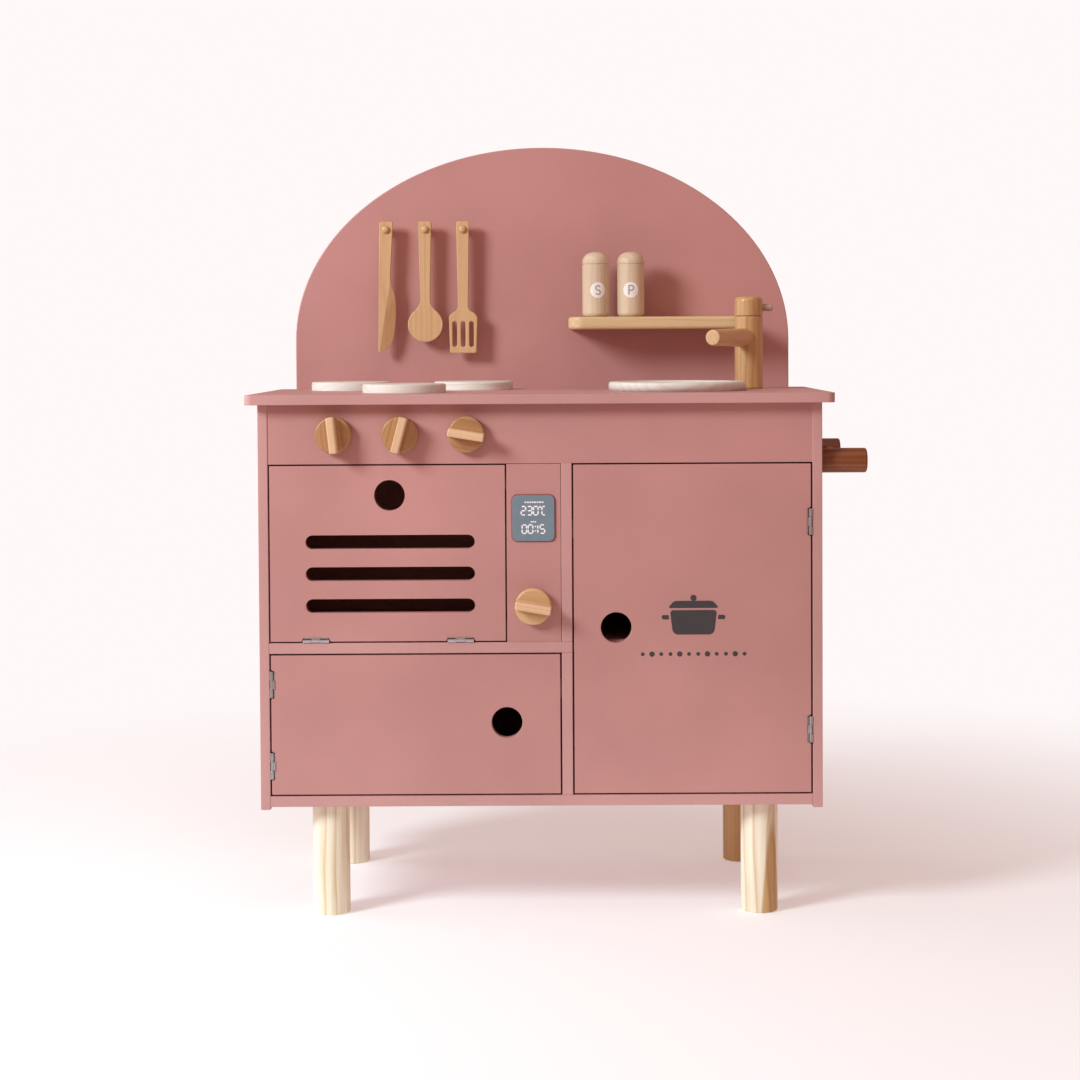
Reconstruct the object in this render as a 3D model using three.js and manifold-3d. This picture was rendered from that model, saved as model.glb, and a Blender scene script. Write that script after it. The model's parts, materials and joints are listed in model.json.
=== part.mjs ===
// Toy kitchen: a painted cabinet on four dowel legs, with a worktop, hob discs, a sink, a
// turning tap, control knobs, three doors, a towel rail and a half-round backboard.
//
// Units are millimetres. In the cabinet's own space X runs across the front from its middle,
// Y runs back from the worktop's front edge and Z runs up from the floor. The whole group is
// then shifted so that its origin lies on the floor under the middle of the bounding box.

import * as THREE from 'three';
import { mergeVertices } from 'three/addons/utils/BufferGeometryUtils.js';
import Module from 'manifold-3d';

const wasm = await Module();
wasm.setup();

// ---------------------------------------------------------------- driving dimensions

const BOARD = 10; // thickness of most painted boards
const FRAME_BOARD = 11; // thickness of the bottom panel, the divider and the two shelves
const CLEARANCE = 0.3; // air between pieces that are cut to fit or that move on each other
const GRID_STEPS = 1024; // vertices lie on a grid with this many steps to the millimetre
const LEAF_SEAT = 0.05; // air between a hinge leaf and the wood that it is screwed to

// Worktop
const WORKTOP_WIDTH = 600;
const WORKTOP_DEPTH = 300;
const WORKTOP_TOP = 539;
const WORKTOP_UNDER = WORKTOP_TOP - BOARD;
const WORKTOP_CORNER = 8;

// Cabinet
const CABINET_HALF = 288;
const CABINET_FRONT = 15;
const CABINET_REAR = 300;
const INNER_HALF = CABINET_HALF - BOARD;
const SIDE_BOTTOM = 113.5;
const LEG_HEIGHT = 116.5;
const FLOOR_TOP = LEG_HEIGHT + FRAME_BOARD;
const REAR_PANEL = 5;
const REAR_PANEL_FRONT = CABINET_REAR - REAR_PANEL;
const DIVIDER_LEFT = 21.25;
const DIVIDER_RIGHT = DIVIDER_LEFT + FRAME_BOARD;
const SHELF_UNDER = 274;
const SHELF_TOP = SHELF_UNDER + FRAME_BOARD;
const HALVING_DEPTH = 155; // where the oven shelf and the divider are notched into each other
const CUPBOARD_SHELF_FRONT = 30;
const FASCIA_BOTTOM = 468;
const FASCIA_FRONT = CABINET_FRONT + 1; // set back a little from the side panels' edges
const DISPLAY_PANEL_LEFT = -34.5;
const PANEL_SEAM = 0.5; // the display panel is this much short of the divider and the fascia

// Doors, which lie in their openings flush with the side panels' front edges
const DOOR_GAP = 1.6;
const OVEN_OPENING = { left: -INNER_HALF, right: DISPLAY_PANEL_LEFT, bottom: SHELF_TOP, top: FASCIA_BOTTOM };
const LOWER_OPENING = { left: -INNER_HALF, right: DIVIDER_LEFT, bottom: FLOOR_TOP, top: SHELF_UNDER };
const RIGHT_OPENING = { left: DIVIDER_RIGHT, right: INNER_HALF, bottom: FLOOR_TOP, top: FASCIA_BOTTOM };
const OVEN_HINGES = [-230, -82];
const LOWER_HINGES = [158.7, 242.5];
const RIGHT_HINGES = [194, 407];
const FINGER_HOLE = 31.5;
const OVEN_HOLE = [-153.8, 436];
const LOWER_HOLE = [-35.1, 202.5];
const RIGHT_HOLE = [77.1, 299.4];
const VENT_LEFT = -240;
const VENT_RIGHT = -67;
const VENT_HEIGHT = 14.3;
const VENT_TOP_Z = 388.4;
const VENT_PITCH = 32.7;
const VENT_COUNT = 3;

// Butt hinges. Their pin lies in the plane of the door's front face.
const HINGE_LENGTH = 27;
const HINGE_MIDDLE = 9; // the door leaf's knuckle
const HINGE_PIN_OFFSET = 2.2; // from the fixed board's face to the pin
const KNUCKLE_RADIUS = 1.6;
const KNUCKLE_BORE = 1.15;
const PIN_RADIUS = 0.8;
const LEAF_THICKNESS = 1;
const LEAF_DEPTH = 9.5;
const NOTCH_DEPTH = 3.9;
const NOTCH_MOUTH = 30;
const NOTCH_ROOT = 26;
const NOTCH_CEILING = DOOR_GAP + NOTCH_DEPTH - HINGE_PIN_OFFSET;

// Control knobs: a disc with a grip bar across it, on a stem that is held behind the board
const KNOB_RADIUS = 18.75;
const KNOB_DISC = 10;
const KNOB_REACH = 25;
const KNOB_BAR = 8.5;
const KNOB_STEM_RADIUS = 4;
const KNOB_STEM_HOLE = 4.5;
const KNOB_COLLAR_RADIUS = 6.5;
const KNOB_COLLAR = 3;
const KNOBS = [
  { name: 'knob_1', x: -210.2, z: 498, turn: -6 },
  { name: 'knob_2', x: -142.4, z: 498, turn: 15 },
  { name: 'knob_3', x: -74.8, z: 498, turn: 99.5 },
  { name: 'knob_4', x: -7.6, z: 322, turn: 100 },
];

// Display
const DISPLAY_CENTRE = [-7, 412];
const DISPLAY_WIDTH = 43.2;
const DISPLAY_HEIGHT = 47;
const DISPLAY_CORNER = 6;
const DISPLAY_THICKNESS = 2;

// Legs
const LEG_RADIUS = 19.2;
const LEGS = {
  leg_front_left: [-219.5, 49],
  leg_front_right: [225.5, 49],
  leg_rear_left: [-219.5, 276],
  leg_rear_right: [223, 276],
};

// Backboard: straight sides under half an ellipse, screwed to the cabinet's rear
const ARCH_HALF = 282.2;
const ARCH_SPRING = 594;
const ARCH_RISE = 219.5;
const ARCH_BOTTOM = 450;

// Towel rail
const RAIL_Z = 468.4;
const RAIL_POST_RADIUS = 12.7;
const RAIL_REACH = 48;
const RAIL_FRONT_Y = 38;
const RAIL_REAR_Y = 263;
const RAIL_BAR_RADIUS = 5;
const RAIL_BAR_REACH = 33;
const RAIL_SOCKET = 6;

// Utensils on their pegs
const PEG_Z = 720;
const PEG_RADIUS = 4.25;
const PEG_LENGTH = 25;
const UTENSIL_HOLE = 4.9;
const UTENSIL_THICKNESS = 7;
const PEG_TIP = 4; // how far a peg stands out of its utensil
const UTENSIL_FRONT_Y = CABINET_REAR - PEG_LENGTH + PEG_TIP;
const UTENSIL_TOP = 729;
const KNIFE_X = -176.8;
const SPOON_X = -132.5;
const TURNER_X = -89.5;
const TURNER_SLOT = 5.2;
const TURNER_SLOT_PITCH = 9.5;

// Spice shelf and shakers
const SPICE_LEFT = 30;
const SPICE_RIGHT = 226;
const SPICE_FRONT = 230;
const SPICE_TOP = 619.5;
const SPICE_THICKNESS = 14;
const SPICE_CORNER = 18;
const SHAKER_RADIUS = 15.25;
const SHAKER_HEIGHT = 73.2;
const SHAKER_DOME = 14;
const SHAKER_Y = 262;
const SHAKERS = { salt_shaker: 61.2, pepper_shaker: 100.7 };

// Tap
const TAP_X = 229.3;
const TAP_Y = 212;
const TAP_RADIUS = 15.5;
const TAP_POST_TOP = 618.8;
const TAP_TOP = 640.7;
const TAP_SPIGOT_RADIUS = 6;
const TAP_SPIGOT = 10;
const TAP_FOOT_RADIUS = 8;
const TAP_FOOT_HOLE = 8.5;
const TAP_NUT_RADIUS = 14;
const TAP_NUT = 5;
const SPOUT_RADIUS = 8.5; // at its free end
const SPOUT_ROOT_RADIUS = 10.5;
const SPOUT_Z = 595.4;
const SPOUT_LENGTH = 97;
const SPOUT_TURN = 28; // degrees to the left of straight ahead
const LEVER_RADIUS = 4;
const LEVER_Z = 628.5;
const LEVER_REACH = 26.5;
const LEVER_SOCKET = 8;

// Sink and hob discs
const SINK_X = 146;
const SINK_Y = 125;
const SINK_RIM_RADIUS = 73.5;
const SINK_RIM_INNER = 60;
const SINK_RIM_HEIGHT = 10;
const SINK_CUTOUT = 64.5;
const BASIN_RADIUS = 63.4;
const BASIN_BOTTOM_RADIUS = 47;
const BASIN_DEPTH = 42;
const BASIN_WALL = 3;
const BURNER_RADIUS = 44;
const BURNER_HEIGHT = 9.5;
const BURNERS = {
  burner_rear_left: [-212, 228],
  burner_rear_right: [-76, 228],
  burner_front: [-144, 100],
};

// Magnet catches behind the doors' free edges
const CATCH_DEPTH = 11;
const CATCH_SIZE = 12;
const CATCH_LENGTH = 20;
const OVEN_CATCH_Z = 440;
const LOWER_CATCH_Z = 225;
const RIGHT_CATCH_Z = 390;

// The bounding box runs from the worktop's left end to the rail's end, and from the knobs'
// grips to the backboard's rear face.
const MIDDLE_X = (CABINET_HALF + RAIL_REACH - WORKTOP_WIDTH / 2) / 2;
const MIDDLE_Y = (CABINET_REAR + BOARD + FASCIA_FRONT - KNOB_REACH) / 2;

// ---------------------------------------------------------------- materials

const finish = (color, roughness, metalness = 0) => () =>
  new THREE.MeshStandardMaterial({ color, roughness, metalness });
const paint = finish('#c58e89', 0.5);
const beech = finish('#cda573', 0.55);
const pine = finish('#ecdcc0', 0.6);
const limedWood = finish('#efe6d8', 0.6);
const steel = finish('#b9bec3', 0.35, 1);
const display = finish('#7a8a94', 0.3);
const whitePlastic = finish('#e9e6e0', 0.4);

// ---------------------------------------------------------------- geometry helpers

// Leaves only positions, on a fine grid so that equal corners are exactly equal, joins equal
// vertices and drops triangles that have no area.
function welded(geometry) {
  geometry.deleteAttribute('normal');
  geometry.deleteAttribute('uv');
  const coordinates = geometry.attributes.position.array;
  coordinates.forEach((value, i) => {
    coordinates[i] = Math.round(value * GRID_STEPS) / GRID_STEPS;
  });
  const merged = mergeVertices(geometry, 0.5 / GRID_STEPS);
  const kept = [];
  const index = merged.index.array;
  for (let i = 0; i < index.length; i += 3) {
    const [a, b, c] = index.slice(i, i + 3);
    if (a !== b && b !== c && c !== a) {
      kept.push(a, b, c);
    }
  }
  merged.setIndex(kept);
  return merged;
}

function toSolid(geometry) {
  const merged = welded(geometry);
  return new wasm.Manifold(
    new wasm.Mesh({
      numProp: 3,
      vertProperties: new Float32Array(merged.attributes.position.array),
      triVerts: new Uint32Array(merged.index.array),
    }),
  );
}

function fromSolid(solid) {
  const mesh = solid.getMesh();
  const geometry = new THREE.BufferGeometry();
  geometry.setAttribute('position', new THREE.BufferAttribute(mesh.vertProperties, 3));
  geometry.setIndex(new THREE.BufferAttribute(mesh.triVerts, 1));
  return geometry;
}

function joined(...geometries) {
  return fromSolid(geometries.map(toSolid).reduce((sum, solid) => sum.add(solid)));
}

function cut(geometry, ...tools) {
  return fromSolid(tools.map(toSolid).reduce((rest, tool) => rest.subtract(tool), toSolid(geometry)));
}

// A box given by its lowest and highest corners.
function box([x0, y0, z0], [x1, y1, z1]) {
  const geometry = new THREE.BoxGeometry(x1 - x0, y1 - y0, z1 - z0);
  return geometry.translate((x0 + x1) / 2, (y0 + y1) / 2, (z0 + z1) / 2);
}

// A profile of [radius, height] points turned about the vertical axis.
function turned(profile, segments = 32) {
  const points = profile.map(([radius, height]) => new THREE.Vector2(radius, height));
  return welded(new THREE.LatheGeometry(points, segments)).rotateX(Math.PI / 2);
}

// A plain rod from height `low` to height `high`, standing on the origin's axis.
function rod(radius, low, high, segments = 24) {
  return turned([[0, low], [radius, low], [radius, high], [0, high]], segments);
}

const alongX = (geometry) => geometry.rotateY(Math.PI / 2);
const towardsFront = (geometry) => geometry.rotateX(Math.PI / 2);

// Points on a circle, from angle `from` to angle `to` in degrees, both ends included.
function arc(centreX, centreY, radius, from, to, steps) {
  return Array.from({ length: steps + 1 }, (_, i) => {
    const angle = THREE.MathUtils.degToRad(from + ((to - from) * i) / steps);
    return [centreX + radius * Math.cos(angle), centreY + radius * Math.sin(angle)];
  });
}

const toVectors = (points) => points.map(([x, y]) => new THREE.Vector2(x, y));

// A flat outline in the X-Z plane made into an upright board whose front face is at y = 0.
function upright(shape, thickness) {
  return level(shape, thickness).rotateX(Math.PI / 2).translate(0, thickness, 0);
}

// A flat outline in the X-Y plane made into a level board whose underside is at z = 0.
function level(shape, thickness) {
  return new THREE.ExtrudeGeometry(shape, { depth: thickness, bevelEnabled: false, curveSegments: 6 });
}

// A flat outline in the Y-Z plane made into a board that stands along Y, from x = 0.
function sideways(shape, thickness) {
  return level(shape, thickness).rotateX(Math.PI / 2).rotateZ(Math.PI / 2);
}

// A shape through the given points, always anticlockwise, so that its holes run the other way.
function outline(points) {
  const corners = toVectors(points);
  return new THREE.Shape(THREE.ShapeUtils.isClockWise(corners) ? corners.reverse() : corners);
}

function roundHole(x, y, radius, steps = 40) {
  return new THREE.Path(toVectors(arc(x, y, radius, 360, 0, steps).slice(1)));
}

// A rectangle whose corner radii are given from the lower left, anticlockwise.
function roundedRectangle(left, bottom, right, top, radii, steps = 4) {
  const [a, b, c, d] = radii;
  return outline([
    ...arc(left + a, bottom + a, a, 180, 270, steps),
    ...arc(right - b, bottom + b, b, 270, 360, steps),
    ...arc(right - c, top - c, c, 0, 90, steps),
    ...arc(left + d, top - d, d, 90, 180, steps),
  ]);
}

// ---------------------------------------------------------------- the scene

const kitchen = new THREE.Group();
kitchen.position.set(-MIDDLE_X, -MIDDLE_Y, 0);

function add(name, geometry, material, position = [0, 0, 0], parent = kitchen) {
  const mesh = new THREE.Mesh(welded(geometry), material());
  mesh.name = name;
  mesh.position.set(...position);
  parent.add(mesh);
  return mesh;
}

// ---------------------------------------------------------------- cabinet carcass

function addSidePanels() {
  const low = [-CABINET_HALF, CABINET_FRONT, SIDE_BOTTOM];
  const high = [-INNER_HALF, CABINET_REAR, WORKTOP_UNDER];
  add('side_panel_left', box(low, high), paint);
  add('side_panel_right', box(low, high), paint, [CABINET_HALF + INNER_HALF, 0, 0]);
}

function addBottomPanel() {
  const low = [-INNER_HALF, CABINET_FRONT, LEG_HEIGHT];
  add('bottom_panel', box(low, [INNER_HALF, CABINET_REAR, FLOOR_TOP]), paint);
}

function addRearPanel() {
  const low = [-INNER_HALF, REAR_PANEL_FRONT, FLOOR_TOP];
  add('rear_panel', box(low, [INNER_HALF, CABINET_REAR, WORKTOP_UNDER]), paint);
}

// The divider passes behind the fascia and is notched at its front for the oven shelf.
function addCentreDivider() {
  const profile = outline([
    [CABINET_FRONT, FLOOR_TOP],
    [REAR_PANEL_FRONT, FLOOR_TOP],
    [REAR_PANEL_FRONT, WORKTOP_UNDER],
    [FASCIA_FRONT + BOARD, WORKTOP_UNDER],
    [FASCIA_FRONT + BOARD, FASCIA_BOTTOM],
    [CABINET_FRONT, FASCIA_BOTTOM],
    [CABINET_FRONT, SHELF_TOP],
    [HALVING_DEPTH, SHELF_TOP],
    [HALVING_DEPTH, SHELF_UNDER],
    [CABINET_FRONT, SHELF_UNDER],
  ]);
  add('centre_divider', sideways(profile, FRAME_BOARD), paint, [DIVIDER_LEFT, 0, 0]);
}

// The oven shelf runs across the divider's front edge and stops beside it further back.
function addOvenShelf() {
  const plan = outline([
    [-INNER_HALF, CABINET_FRONT],
    [DIVIDER_RIGHT, CABINET_FRONT],
    [DIVIDER_RIGHT, HALVING_DEPTH],
    [DIVIDER_LEFT, HALVING_DEPTH],
    [DIVIDER_LEFT, REAR_PANEL_FRONT],
    [-INNER_HALF, REAR_PANEL_FRONT],
  ]);
  add('oven_shelf', level(plan, FRAME_BOARD), paint, [0, 0, SHELF_UNDER]);
}

function addCupboardShelf() {
  const low = [DIVIDER_RIGHT, CUPBOARD_SHELF_FRONT, SHELF_UNDER];
  add('cupboard_shelf', box(low, [INNER_HALF, REAR_PANEL_FRONT, SHELF_TOP]), paint);
}

function addControlFascia() {
  const shape = outline([
    [-INNER_HALF, FASCIA_BOTTOM],
    [INNER_HALF, FASCIA_BOTTOM],
    [INNER_HALF, WORKTOP_UNDER],
    [-INNER_HALF, WORKTOP_UNDER],
  ]);
  const fasciaKnobs = KNOBS.filter((knob) => knob.z > FASCIA_BOTTOM);
  shape.holes = fasciaKnobs.map((knob) => roundHole(knob.x, knob.z, KNOB_STEM_HOLE, 20));
  add('control_fascia', upright(shape, BOARD), paint, [0, FASCIA_FRONT, 0]);
}

function addDisplayPanel() {
  const shape = outline([
    [DISPLAY_PANEL_LEFT, SHELF_TOP],
    [DIVIDER_LEFT - PANEL_SEAM, SHELF_TOP],
    [DIVIDER_LEFT - PANEL_SEAM, FASCIA_BOTTOM - PANEL_SEAM],
    [DISPLAY_PANEL_LEFT, FASCIA_BOTTOM - PANEL_SEAM],
  ]);
  const panelKnobs = KNOBS.filter((knob) => knob.z < FASCIA_BOTTOM);
  shape.holes = panelKnobs.map((knob) => roundHole(knob.x, knob.z, KNOB_STEM_HOLE, 20));
  add('display_panel', upright(shape, BOARD), paint, [0, FASCIA_FRONT, 0]);
}

function addDisplayPlate() {
  const [x, z] = DISPLAY_CENTRE;
  const halfWidth = DISPLAY_WIDTH / 2;
  const halfHeight = DISPLAY_HEIGHT / 2;
  const radii = [DISPLAY_CORNER, DISPLAY_CORNER, DISPLAY_CORNER, DISPLAY_CORNER];
  const shape = roundedRectangle(x - halfWidth, z - halfHeight, x + halfWidth, z + halfHeight, radii);
  add('display_plate', upright(shape, DISPLAY_THICKNESS), display, [0, FASCIA_FRONT - DISPLAY_THICKNESS, 0]);
}

function addCountertop() {
  const half = WORKTOP_WIDTH / 2;
  const radii = [WORKTOP_CORNER, WORKTOP_CORNER, WORKTOP_CORNER, WORKTOP_CORNER];
  const plan = roundedRectangle(-half, 0, half, WORKTOP_DEPTH, radii);
  plan.holes = [roundHole(SINK_X, SINK_Y, SINK_CUTOUT, 36), roundHole(TAP_X, TAP_Y, TAP_FOOT_HOLE, 16)];
  add('countertop', level(plan, BOARD), paint, [0, 0, WORKTOP_UNDER]);
}

function addArchedBackboard() {
  const halfEllipse = arc(0, 0, 1, 0, 180, 72).map(([x, z]) => [ARCH_HALF * x, ARCH_SPRING + ARCH_RISE * z]);
  const shape = outline([[-ARCH_HALF, ARCH_BOTTOM], [ARCH_HALF, ARCH_BOTTOM], ...halfEllipse]);
  add('arched_backboard', upright(shape, BOARD), paint, [0, CABINET_REAR, 0]);
}

function addLegs() {
  const chamfer = 1.5;
  const profile = [
    [0, 0],
    [LEG_RADIUS - chamfer, 0],
    [LEG_RADIUS, chamfer],
    [LEG_RADIUS, LEG_HEIGHT],
    [0, LEG_HEIGHT],
  ];
  for (const [name, [x, y]] of Object.entries(LEGS)) {
    add(name, turned(profile, 28), pine, [x, y, 0]);
  }
}

// ---------------------------------------------------------------- doors and hinges

// The outline of a door that fills an opening, with a notch for each hinge. `along` runs along
// the hinged edge and `across` runs from that edge towards the free one.
function doorShape(opening, hingeSide, hingePlaces) {
  const left = opening.left + DOOR_GAP;
  const right = opening.right - DOOR_GAP;
  const bottom = opening.bottom + DOOR_GAP;
  const top = opening.top - DOOR_GAP;
  const place = {
    bottom: (along, across) => [along, bottom + across],
    left: (along, across) => [left + across, along],
    right: (along, across) => [right - across, along],
  }[hingeSide];
  const upDoor = hingeSide === 'bottom';
  const start = upDoor ? left : bottom;
  const end = upDoor ? right : top;
  const reach = upDoor ? top - bottom : right - left;
  const notches = hingePlaces.flatMap((centre) => [
    [centre - NOTCH_MOUTH / 2, 0],
    [centre - NOTCH_ROOT / 2, NOTCH_DEPTH],
    [centre + NOTCH_ROOT / 2, NOTCH_DEPTH],
    [centre + NOTCH_MOUTH / 2, 0],
  ]);
  const edge = [[start, 0], ...notches, [end, 0], [end, reach], [start, reach]];
  return outline(edge.map(([along, across]) => place(along, across)));
}

// A slot with round ends, cut through the oven door.
function ventHole(z) {
  const radius = VENT_HEIGHT / 2;
  const leftEnd = arc(VENT_LEFT + radius, z, radius, 270, 90, 12);
  const rightEnd = arc(VENT_RIGHT - radius, z, radius, 90, -90, 12);
  return new THREE.Path(toVectors([...leftEnd, ...rightEnd]));
}

// Both leaves are made with the pin along X, Y running back and Z from the fixed board to the
// door, with the origin in the middle of the pin.
function fixedLeaf() {
  const half = HINGE_LENGTH / 2;
  const slot = HINGE_MIDDLE / 2 + CLEARANCE;
  const slotDepth = KNUCKLE_RADIUS + CLEARANCE;
  const front = -KNUCKLE_RADIUS / 2;
  const plan = outline([
    [-half, front],
    [-slot, front],
    [-slot, slotDepth],
    [slot, slotDepth],
    [slot, front],
    [half, front],
    [half, LEAF_DEPTH],
    [-half, LEAF_DEPTH],
  ]);
  const plate = level(plan, LEAF_THICKNESS).translate(0, 0, LEAF_SEAT - HINGE_PIN_OFFSET);
  const knuckles = [
    alongX(rod(KNUCKLE_RADIUS, -half, -slot, 10)),
    alongX(rod(KNUCKLE_RADIUS, slot, half, 10)),
  ];
  return joined(plate, ...knuckles, alongX(rod(PIN_RADIUS, -half, half, 8)));
}

function doorLeaf() {
  const half = NOTCH_ROOT / 2 - CLEARANCE;
  const middle = HINGE_MIDDLE / 2;
  const top = NOTCH_CEILING - LEAF_SEAT;
  const web = KNUCKLE_RADIUS / 2;
  const plate = box([-half, CLEARANCE, top - LEAF_THICKNESS], [half, LEAF_DEPTH, top]);
  const neck = box([-middle, -web, (KNUCKLE_BORE + KNUCKLE_RADIUS) / 2], [middle, web, top]);
  const knuckle = alongX(rod(KNUCKLE_RADIUS, -middle, middle, 10));
  return cut(joined(plate, neck, knuckle), alongX(rod(KNUCKLE_BORE, -HINGE_LENGTH, HINGE_LENGTH, 10)));
}

// Places a pair of leaves at each hinge of a door.
function addHinges(doorName, opening, hingeSide, hingePlaces) {
  const turns = { bottom: 0, left: Math.PI / 2, right: -Math.PI / 2 };
  const pinAt = {
    bottom: (along) => [along, CABINET_FRONT, opening.bottom + HINGE_PIN_OFFSET],
    left: (along) => [opening.left + HINGE_PIN_OFFSET, CABINET_FRONT, along],
    right: (along) => [opening.right - HINGE_PIN_OFFSET, CABINET_FRONT, along],
  }[hingeSide];
  hingePlaces.forEach((along, i) => {
    const hinge = new THREE.Group();
    hinge.position.set(...pinAt(along));
    hinge.rotation.y = turns[hingeSide];
    kitchen.add(hinge);
    add(`${doorName}_hinge_${i + 1}_fixed_leaf`, fixedLeaf(), steel, [0, 0, 0], hinge);
    add(`${doorName}_hinge_${i + 1}_door_leaf`, doorLeaf(), steel, [0, 0, 0], hinge);
  });
}

function addOvenDoor() {
  const shape = doorShape(OVEN_OPENING, 'bottom', OVEN_HINGES);
  shape.holes.push(roundHole(...OVEN_HOLE, FINGER_HOLE / 2));
  for (let i = 0; i < VENT_COUNT; i += 1) {
    shape.holes.push(ventHole(VENT_TOP_Z - i * VENT_PITCH));
  }
  add('oven_door', upright(shape, BOARD), paint, [0, CABINET_FRONT, 0]);
  addHinges('oven', OVEN_OPENING, 'bottom', OVEN_HINGES);
}

function addLowerDoor() {
  const shape = doorShape(LOWER_OPENING, 'left', LOWER_HINGES);
  shape.holes.push(roundHole(...LOWER_HOLE, FINGER_HOLE / 2));
  add('lower_door', upright(shape, BOARD), paint, [0, CABINET_FRONT, 0]);
  addHinges('lower', LOWER_OPENING, 'left', LOWER_HINGES);
}

function addRightDoor() {
  const shape = doorShape(RIGHT_OPENING, 'right', RIGHT_HINGES);
  shape.holes.push(roundHole(...RIGHT_HOLE, FINGER_HOLE / 2));
  add('right_door', upright(shape, BOARD), paint, [0, CABINET_FRONT, 0]);
  addHinges('right', RIGHT_OPENING, 'right', RIGHT_HINGES);
}

// Each catch sits just behind its door's free edge, on the board beside the opening.
function addMagnetCatches() {
  const behindDoor = CABINET_FRONT + BOARD + CLEARANCE;
  const behindPanel = FASCIA_FRONT + BOARD;
  const ovenSize = [2 * CATCH_SIZE, CATCH_DEPTH, CATCH_SIZE];
  const sideSize = [CATCH_SIZE, CATCH_DEPTH, CATCH_LENGTH];
  const catchBlock = (size) => box([0, 0, 0], size);
  const ovenPlace = [DISPLAY_PANEL_LEFT - CATCH_SIZE, behindPanel, OVEN_CATCH_Z];
  const lowerPlace = [DIVIDER_LEFT - CATCH_SIZE, behindDoor, LOWER_CATCH_Z];
  const rightPlace = [DIVIDER_RIGHT, behindDoor, RIGHT_CATCH_Z];
  add('magnet_catch_oven', catchBlock(ovenSize), whitePlastic, ovenPlace);
  add('magnet_catch_lower', catchBlock(sideSize), whitePlastic, lowerPlace);
  add('magnet_catch_right', catchBlock(sideSize), whitePlastic, rightPlace);
}

// ---------------------------------------------------------------- knobs

function knobGeometry() {
  const back = -BOARD - CLEARANCE;
  const body = turned(
    [
      [0, back - KNOB_COLLAR],
      [KNOB_COLLAR_RADIUS, back - KNOB_COLLAR],
      [KNOB_COLLAR_RADIUS, back],
      [KNOB_STEM_RADIUS, back],
      [KNOB_STEM_RADIUS, CLEARANCE],
      [KNOB_RADIUS - 1, CLEARANCE],
      [KNOB_RADIUS, CLEARANCE + 1],
      [KNOB_RADIUS, KNOB_DISC - 1],
      [KNOB_RADIUS - 1, KNOB_DISC],
      [0, KNOB_DISC],
    ],
    20,
  );
  const bar = box([-KNOB_RADIUS, -KNOB_BAR / 2, KNOB_DISC - 2], [KNOB_RADIUS, KNOB_BAR / 2, KNOB_REACH]);
  const round = rod(KNOB_RADIUS - 0.5, 0, KNOB_REACH + 1, 20);
  const grip = toSolid(bar).intersect(toSolid(round));
  return towardsFront(fromSolid(toSolid(body).add(grip)).rotateZ(Math.PI / 2));
}

function addKnobs() {
  for (const { name, x, z, turn } of KNOBS) {
    const knob = add(name, knobGeometry(), beech, [x, FASCIA_FRONT, z]);
    knob.rotation.y = THREE.MathUtils.degToRad(turn);
  }
}

// ---------------------------------------------------------------- towel rail

function addTowelRail() {
  const chamfer = 1;
  const profile = [
    [0, 0],
    [RAIL_POST_RADIUS, 0],
    [RAIL_POST_RADIUS, RAIL_REACH - chamfer],
    [RAIL_POST_RADIUS - chamfer, RAIL_REACH],
    [0, RAIL_REACH],
  ];
  const socketDepth = RAIL_POST_RADIUS - RAIL_SOCKET;
  const along = (from, to, radius) =>
    rod(radius, from, to, 12).rotateX(-Math.PI / 2).translate(RAIL_BAR_REACH, 0, 0);
  const socket = RAIL_BAR_RADIUS + CLEARANCE;
  const post = (from, to) => cut(alongX(turned(profile, 24)), along(from, to, socket));
  const place = (y) => [CABINET_HALF, y, RAIL_Z];
  add('towel_post_front', post(socketDepth, 2 * RAIL_POST_RADIUS), beech, place(RAIL_FRONT_Y));
  add('towel_post_rear', post(-2 * RAIL_POST_RADIUS, -socketDepth), beech, place(RAIL_REAR_Y));
  const barStart = socketDepth + CLEARANCE;
  const barEnd = RAIL_REAR_Y - RAIL_FRONT_Y - socketDepth - CLEARANCE;
  add('towel_bar', along(barStart, barEnd, RAIL_BAR_RADIUS), beech, place(RAIL_FRONT_Y));
}

// ---------------------------------------------------------------- pegs and utensils

function addPegs() {
  const round = 2;
  const profile = [
    [0, 0],
    [PEG_RADIUS, 0],
    ...arc(PEG_RADIUS - round, PEG_LENGTH - round, round, 0, 90, 2),
    [0, PEG_LENGTH],
  ];
  const places = { peg_knife: KNIFE_X, peg_spoon: SPOON_X, peg_turner: TURNER_X };
  for (const [name, x] of Object.entries(places)) {
    add(name, towardsFront(turned(profile, 12)), beech, [x, CABINET_REAR, PEG_Z]);
  }
}

function addUtensil(name, shape, pegX, slots = []) {
  shape.holes.push(roundHole(pegX, PEG_Z, UTENSIL_HOLE, 16));
  const blank = upright(shape, UTENSIL_THICKNESS);
  add(name, slots.length > 0 ? cut(blank, ...slots) : blank, beech, [0, UTENSIL_FRONT_Y, 0]);
}

// The knife's left edge is straight and its blade's right edge curves down to the point.
function knifeShape() {
  const shape = new THREE.Shape();
  shape.moveTo(KNIFE_X - 7.2, UTENSIL_TOP);
  shape.lineTo(KNIFE_X - 9.2, 581);
  shape.quadraticCurveTo(KNIFE_X + 4, 582, KNIFE_X + 8, 600);
  shape.quadraticCurveTo(KNIFE_X + 11.5, 622, KNIFE_X + 10, 641);
  shape.quadraticCurveTo(KNIFE_X + 9, 648, KNIFE_X + 6.3, 655);
  shape.quadraticCurveTo(KNIFE_X + 4.9, 660, KNIFE_X + 4.9, 668);
  shape.lineTo(KNIFE_X + 7.2, UTENSIL_TOP);
  return shape;
}

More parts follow.
